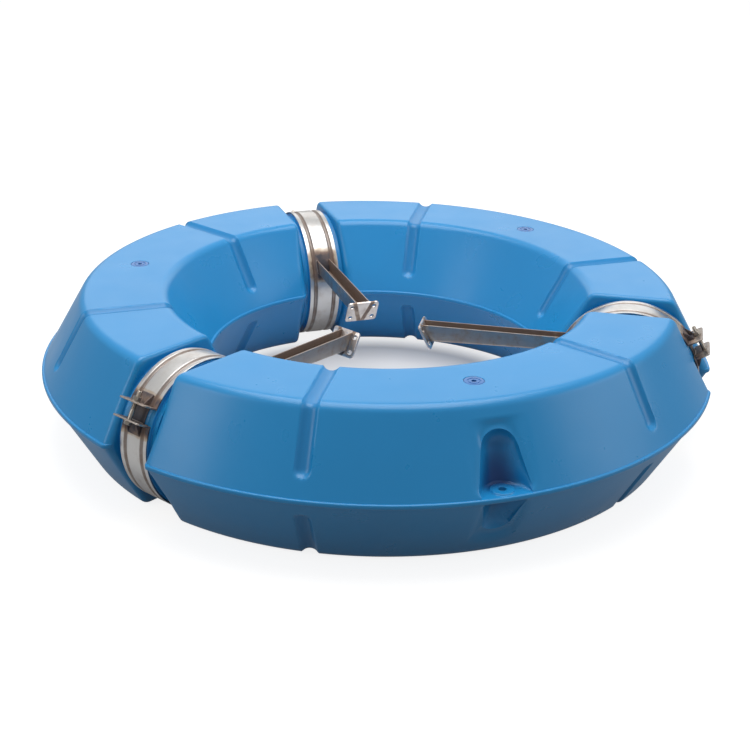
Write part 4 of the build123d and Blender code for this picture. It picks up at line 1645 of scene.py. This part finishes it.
def new_finish(name: str) -> tuple[bpy.types.Material, bpy.types.Node, Nodes]:
    """A new material, with its shader and its nodes."""
    material = bpy.data.materials.new(name)
    material.use_nodes = True
    return material, material.node_tree.nodes["Principled BSDF"], Nodes(material.node_tree)


def place_group(nodes: Nodes, shader: bpy.types.Node, group: str,
                values: dict[str, object]) -> bpy.types.Node:
    """Places a shared group in a material and joins it to the shader.

    Args:
        nodes: the material's nodes.
        shader: the material's shader.
        group: the group's name.
        values: the material's own values for the group's inputs.

    Returns:
        The group's node.
    """
    node = nodes.filled("Group", {}, node_tree=bpy.data.node_groups[group])
    for label, value in values.items():
        node.inputs[label].default_value = value
    for output in node.outputs:
        nodes.link(output, shader.inputs[GROUP_SOCKETS[output.name]])
    return node


@dataclass(frozen=True)
class Plastic:
    """Moulded polyethylene finish."""

    name: str
    colour: tuple[float, float, float]
    roughness: float
    cloud: float = 0.16
    peel: float = 0.12

    def material(self) -> bpy.types.Material:
        """The finish as a material."""
        material, shader, nodes = new_finish(self.name)
        shader.inputs["IOR"].default_value = 1.5
        place_group(nodes, shader, "moulded_skin",
                    {"Colour": (*self.colour, 1), "Cloud": self.cloud, "Peel": self.peel,
                     "Roughness": self.roughness})
        return material


@dataclass(frozen=True)
class Steel:
    """Stainless steel finish."""

    name: str
    colour: tuple[float, float, float]
    roughness: float
    streak: float = 0.25
    stain: float = 0.35
    tint: float = 1.0
    weld_lines: bool = False
    line_lean: float = 0.30
    line_middle: float = 0.011
    line_fade: tuple[float, float] = (0.0028, 0.0064)
    line_strength: float = 0.62

    def material(self) -> bpy.types.Material:
        """The finish as a material."""
        material, shader, nodes = new_finish(self.name)
        group = place_group(nodes, shader, "worked_steel",
                            {"Colour": (*self.colour, 1), "Streak": self.streak,
                             "Stain": self.stain, "Roughness": self.roughness,
                             "Tint": self.tint})
        if self.weld_lines:
            nodes.link(self.weld_line_mask(nodes), group.inputs["Weld lines"])
        return material

    def weld_line_mask(self, nodes: Nodes) -> bpy.types.NodeSocket:
        """Two slanting lines, where the welds on a plate's back show through as tint.

        The mask falls off with the distance of the point's size across from a value
        that grows evenly up the plate.
        """
        split = nodes.filled("SeparateXYZ", {0: nodes.surface_map()}).outputs
        spread = nodes.math("MULTIPLY_ADD", split["Y"], self.line_lean, self.line_middle)
        beside = nodes.math("SUBTRACT", nodes.math("ABSOLUTE", split["X"]), spread)
        away = nodes.ramp(nodes.math("ABSOLUTE", beside), *self.line_fade)
        return nodes.math("MULTIPLY", nodes.math("SUBTRACT", 1.0, away), self.line_strength)


@dataclass(frozen=True)
class Foam:
    """Rigid foam or rubber, matt, with a fine cell pattern."""

    name: str
    colour: tuple[float, float, float]
    cell_scale: float
    roughness: float = 0.85

    def material(self) -> bpy.types.Material:
        """The finish as a material."""
        material, shader, nodes = new_finish(self.name)
        shader.inputs["Roughness"].default_value = self.roughness
        cells = nodes.noise(nodes.object_place(), self.cell_scale, 4, 0.6)
        darker = tuple(value * 0.7 for value in self.colour)
        nodes.link(nodes.mix(cells, (*darker, 1), (*self.colour, 1)), shader.inputs["Base Color"])
        nodes.link(nodes.bump(cells, 0.4, 0.0003), shader.inputs["Normal"])
        return material


@dataclass(frozen=True)
class Softbox:
    """One rectangular lamp that looks at the ring's middle."""

    name: str
    bearing: float
    elevation: float
    distance: float
    size: tuple[float, float]
    radiance: float

    def light(self, camera_bearing: float) -> None:
        """Adds the lamp.

        Its power is its radiance times pi times its area.

        Args:
            camera_bearing: the camera's bearing in radians, from which the lamp's is counted.
        """
        data = bpy.data.lights.new(self.name, "AREA")
        data.shape = "RECTANGLE"
        data.size, data.size_y = self.size
        data.energy = self.radiance * math.pi * self.size[0] * self.size[1]
        bearing, rise = camera_bearing + math.radians(self.bearing), math.radians(self.elevation)
        place = self.distance * Vector((math.cos(bearing) * math.cos(rise),
                                        math.sin(bearing) * math.cos(rise), math.sin(rise)))
        lamp = bpy.data.objects.new(self.name, data)
        lamp.location = place
        lamp.rotation_euler = (-place).to_track_quat("-Z", "Y").to_euler()
        bpy.context.scene.collection.objects.link(lamp)


@dataclass(frozen=True)
class Studio:
    """Floor, light and camera."""

    camera_distance: float = 2.6712
    camera_height: float = 1.2467
    camera_bearing: float = math.radians(-109.35)
    pitch: float = 0.4098
    yaw: float = -0.0032
    roll: float = 0.0196
    focal_pixels: float = 1457.57
    frame_pixels: float = 750.0
    centre_x: float = 372.31
    centre_y: float = 375.08
    sensor: float = 36.0
    clip: tuple[float, float] = (0.05, 60.0)
    horizon: float = 0.36
    zenith: float = 0.70
    front_dimming: float = 0.35
    floor_reach: float = 9.0
    floor_level: float = -0.0005
    floor_bounce: float = 0.24
    inner_bounce: float = 0.70
    floor_gleam: float = 0.20
    floor_glow: float = 0.84
    shade_glow: float = 0.14
    centre_glow: float = 0.38
    centre_radius: float = 0.08
    hole_radius: float = 0.33
    hole_fade: float = 0.1
    hole_paint: tuple[float, ...] = (0.50, 0.50, 0.515, 1)
    floor_paint: tuple[float, ...] = (0.30, 0.30, 0.30, 1)

    def camera(self) -> None:
        """Sets the camera where the photograph was taken from."""
        data = bpy.data.cameras.new("camera")
        data.sensor_width = self.sensor
        data.lens = self.sensor * self.focal_pixels / self.frame_pixels
        data.shift_x = (self.frame_pixels / 2 - self.centre_x) / self.frame_pixels
        data.shift_y = (self.centre_y - self.frame_pixels / 2) / self.frame_pixels
        data.clip_start, data.clip_end = self.clip
        turn = Matrix.Rotation(self.camera_bearing + math.pi / 2, 3, "Z")
        forward = turn @ Vector((math.sin(self.yaw) * math.cos(self.pitch),
                                 math.cos(self.yaw) * math.cos(self.pitch), -math.sin(self.pitch)))
        right = turn @ Vector((math.cos(self.yaw), -math.sin(self.yaw), 0))
        up = right.cross(forward)
        rolled = math.cos(self.roll) * right + math.sin(self.roll) * up
        upright = -math.sin(self.roll) * right + math.cos(self.roll) * up
        place = turn @ Vector((0, -self.camera_distance, 0)) + Vector((0, 0, self.camera_height))
        basis = Matrix((rolled, upright, -forward)).transposed()
        camera = bpy.data.objects.new("camera", data)
        camera.matrix_world = Matrix.Translation(place) @ basis.to_4x4()
        bpy.context.scene.collection.objects.link(camera)
        bpy.context.scene.camera = camera

    def world(self) -> None:
        """A dome that is bright overhead, dim at the horizon and dimmer behind the camera."""
        world = bpy.data.worlds.new("dome")
        bpy.context.scene.world = world
        world.use_nodes = True
        nodes = Nodes(world.node_tree)
        sky = nodes.add("TexCoord").outputs["Generated"]
        towards_camera = (math.cos(self.camera_bearing), math.sin(self.camera_bearing), 0)
        split = nodes.filled("SeparateXYZ", {0: sky}).outputs
        front = nodes.filled("VectorMath", {0: sky, 1: towards_camera}, operation="DOT_PRODUCT")
        level = nodes.math("MULTIPLY_ADD", nodes.ramp(split["Z"], 0.0, 0.92),
                           self.zenith - self.horizon, self.horizon)
        faced = nodes.ramp(front.outputs["Value"], -0.1, 0.8)
        dimmed = nodes.math("SUBTRACT", 1.0, nodes.math("MULTIPLY", faced, self.front_dimming))
        level = nodes.math("MULTIPLY", level, dimmed)
        shown = nodes.add("LightPath").outputs["Is Camera Ray"]
        background = world.node_tree.nodes["Background"]
        background.inputs["Color"].default_value = WHITE
        nodes.link(nodes.math("MAXIMUM", level, shown), background.inputs["Strength"])

    def lamps(self) -> None:
        """A softbox overhead, one to each side and a wash from behind."""
        for box in (Softbox("overhead", 180.0, 88.0, 2.6, (2.3, 2.3), 3.2),
                    Softbox("left_box", -62.0, 28.0, 3.0, (1.0, 1.3), 2.4),
                    Softbox("right_box", 80.0, 24.0, 3.0, (1.9, 1.2), 1.6),
                    Softbox("back_wash", 180.0, 24.0, 4.0, (4.5, 1.6), 0.9)):
            box.light(self.camera_bearing)

    def floor(self) -> None:
        """A wide pale floor that keeps the ring's soft shadow.

        Seen by the camera it glows outside the ring, and inside the ring's hole more
        the nearer a point lies to the middle. Its paint is another one for the light
        that it throws back than for the camera.
        """
        side = np.linspace(-self.floor_reach, self.floor_reach, 3)
        x, y = np.meshgrid(side, side, indexing="ij")
        parts = MeshParts()
        parts.add_grid(np.stack([x, y, np.full(x.shape, self.floor_level)], axis=-1))
        floor = parts.build("floor")
        material, shader, nodes = new_finish("floor_paint")
        shader.inputs["Roughness"].default_value = 0.9
        shader.inputs["Specular IOR Level"].default_value = 0.0
        shader.inputs["Emission Color"].default_value = WHITE
        path = nodes.add("LightPath").outputs
        seen = nodes.math("MAXIMUM", path["Is Camera Ray"], path["Is Glossy Ray"])
        flat = nodes.stretch(nodes.object_place(), (1.0, 1.0, 0.0))
        distance = nodes.filled("VectorMath", {0: flat}, operation="LENGTH").outputs["Value"]
        outside = nodes.ramp(distance, self.hole_radius, self.hole_radius + self.hole_fade)
        from_centre = nodes.ramp(distance, self.centre_radius, self.hole_radius)
        centre = nodes.math("SUBTRACT", 1.0, from_centre)
        greys = [(level, level, level, 1) for level in (self.inner_bounce, self.floor_bounce)]
        bounce = nodes.mix(outside, *greys)
        paint = nodes.mix(outside, self.hole_paint, self.floor_paint)
        nodes.link(nodes.mix(seen, bounce, paint), shader.inputs["Base Color"])
        glow = nodes.math("MAXIMUM", nodes.math("MULTIPLY", outside, self.floor_glow),
                          nodes.math("MULTIPLY_ADD", centre, self.centre_glow, self.shade_glow))
        gleam = nodes.math("MULTIPLY", path["Is Glossy Ray"], self.floor_gleam)
        nodes.link(nodes.math("MULTIPLY_ADD", path["Is Camera Ray"], glow, gleam),
                   shader.inputs["Emission Strength"])
        floor.data.materials.append(material)


class RingLooks:
    """Builds, dresses and hangs every visible piece of the ring."""

    def __init__(self) -> None:
        """Makes the shared groups and the finishes."""
        moulded_skin()
        worked_steel()
        self.finishes = {
            Slot.FLOAT: Plastic("blue_polyethylene", (0.012, 0.240, 0.545), 0.30).material(),
            Slot.PLUG: Plastic("plug_polyethylene", (0.030, 0.150, 0.420), 0.26).material(),
            Slot.BAND: Steel("band_stainless", (0.68, 0.67, 0.655), 0.31, streak=0.12,
                             stain=0.30).material(),
            Slot.ARM: Steel("arm_stainless", (0.42, 0.38, 0.35), 0.40, streak=0.16,
                            stain=0.85).material(),
            Slot.FASTENER: Steel("bolt_stainless", (0.42, 0.385, 0.34), 0.32, tint=0.0).material(),
        }
        self.plate = Steel("plate_stainless", (0.74, 0.69, 0.66), 0.34, streak=0.08, stain=0.45,
                           weld_lines=True).material()
        self.weld = Steel("weld_metal", (0.30, 0.27, 0.26), 0.42, tint=0.0, stain=0.7).material()

    def hang(self, piece: bpy.types.Object, body: str, slot: Slot, nodes: tuple[str, ...] = (),
             material: bpy.types.Material | None = None) -> None:
        """Gives a piece its finish, its body and the nodes that it stands for.

        Args:
            piece: the finished mesh.
            body: CAD body that it rides on.
            slot: the record's slot that it is painted from.
            nodes: CAD nodes that it replaces.
            material: another finish than the slot's own, or None.
        """
        piece.data.materials.append(material or self.finishes[slot])
        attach(piece, body)
        if nodes:
            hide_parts(*nodes)
        LOG.info("%s rides on %s, %d faces", piece.name, body, len(piece.data.polygons))

    def floats(self) -> None:
        """The three moulded floats and their filler plugs."""
        shape = MouldedFloat()
        surface = shape.surface()
        drawn = [points.copy() for points in surface.points]
        for number in STATIONS:
            port, _ = joint(f"plug_turn_{number}")
            angle = math.atan2(port[1], port[0])
            surface.points = [turned(points, angle) for points in drawn]
            piece = surface.build(f"float_{number}")
            # Painted shade in the recesses and along the grooves.
            write_attribute(piece, Attribute.GRIME, shape.painted_shade(turned(mesh_points(piece), -angle)))
            self.hang(piece, "ring", Slot.FLOAT, (f"float_shell_{number}",))
            self.hang(FillerPlug(number).plug(), f"plug_{number}", Slot.PLUG,
                      (f"filler_plug_{number}",))

    def clamps(self) -> None:
        """The three clamps with their closures and arms."""
        for number in STATIONS:
            place = ClampFrame(number)
            body = f"clamp_{number}"
            band, arm, fasteners = BandClamp(place), PumpArm(place), Fasteners(place)
            self.hang(band.band(), body, Slot.BAND, (f"clamp_band_{number}",))
            self.hang(band.bridge(), body, Slot.BAND, (f"gap_bridge_{number}",))
            self.hang(band.lug(1), body, Slot.ARM, (f"lower_lug_{number}",))
            self.hang(band.lug(-1), body, Slot.ARM, (f"upper_lug_{number}",))
            self.hang(band.lug_welds(), body, Slot.ARM, material=self.weld)
            self.hang(arm.channel(), body, Slot.ARM, (f"arm_channel_{number}",))
            self.hang(arm.plate(), body, Slot.ARM, (f"mounting_plate_{number}",), self.plate)
            self.hang(arm.welds(), body, Slot.ARM, material=self.weld)
            self.hang(fasteners.bolt(), f"bolt_{number}", Slot.FASTENER, (f"clamp_bolt_{number}",))
            self.hang(fasteners.nut(), f"nut_{number}", Slot.FASTENER, (f"clamp_nut_{number}",))
            self.hang(fasteners.washers(), body, Slot.FASTENER, (f"clamp_washers_{number}",))

    def hidden_nodes(self) -> None:
        """Finishes for the CAD nodes that stay: foam cores and plug seals."""
        foam = Foam("core_foam", (0.80, 0.72, 0.48), 320.0).material()
        rubber = Foam("seal_rubber", (0.02, 0.02, 0.022), 500.0, roughness=0.6).material()
        for number in STATIONS:
            for node, material in ((f"float_foam_{number}", foam), (f"plug_seal_{number}", rubber)):
                mesh = frame["nodes"][node].data
                mesh.materials.clear()
                mesh.materials.append(material)


def main() -> None:
    """Builds the scene."""
    logging.basicConfig(level=logging.INFO, format="%(name)s: %(message)s")
    bpy.context.scene.view_settings.view_transform = "Standard"
    studio = Studio()
    studio.camera()
    studio.world()
    studio.lamps()
    studio.floor()
    looks = RingLooks()
    looks.floats()
    looks.clamps()
    looks.hidden_nodes()


if __name__ == "__main__":
    main()
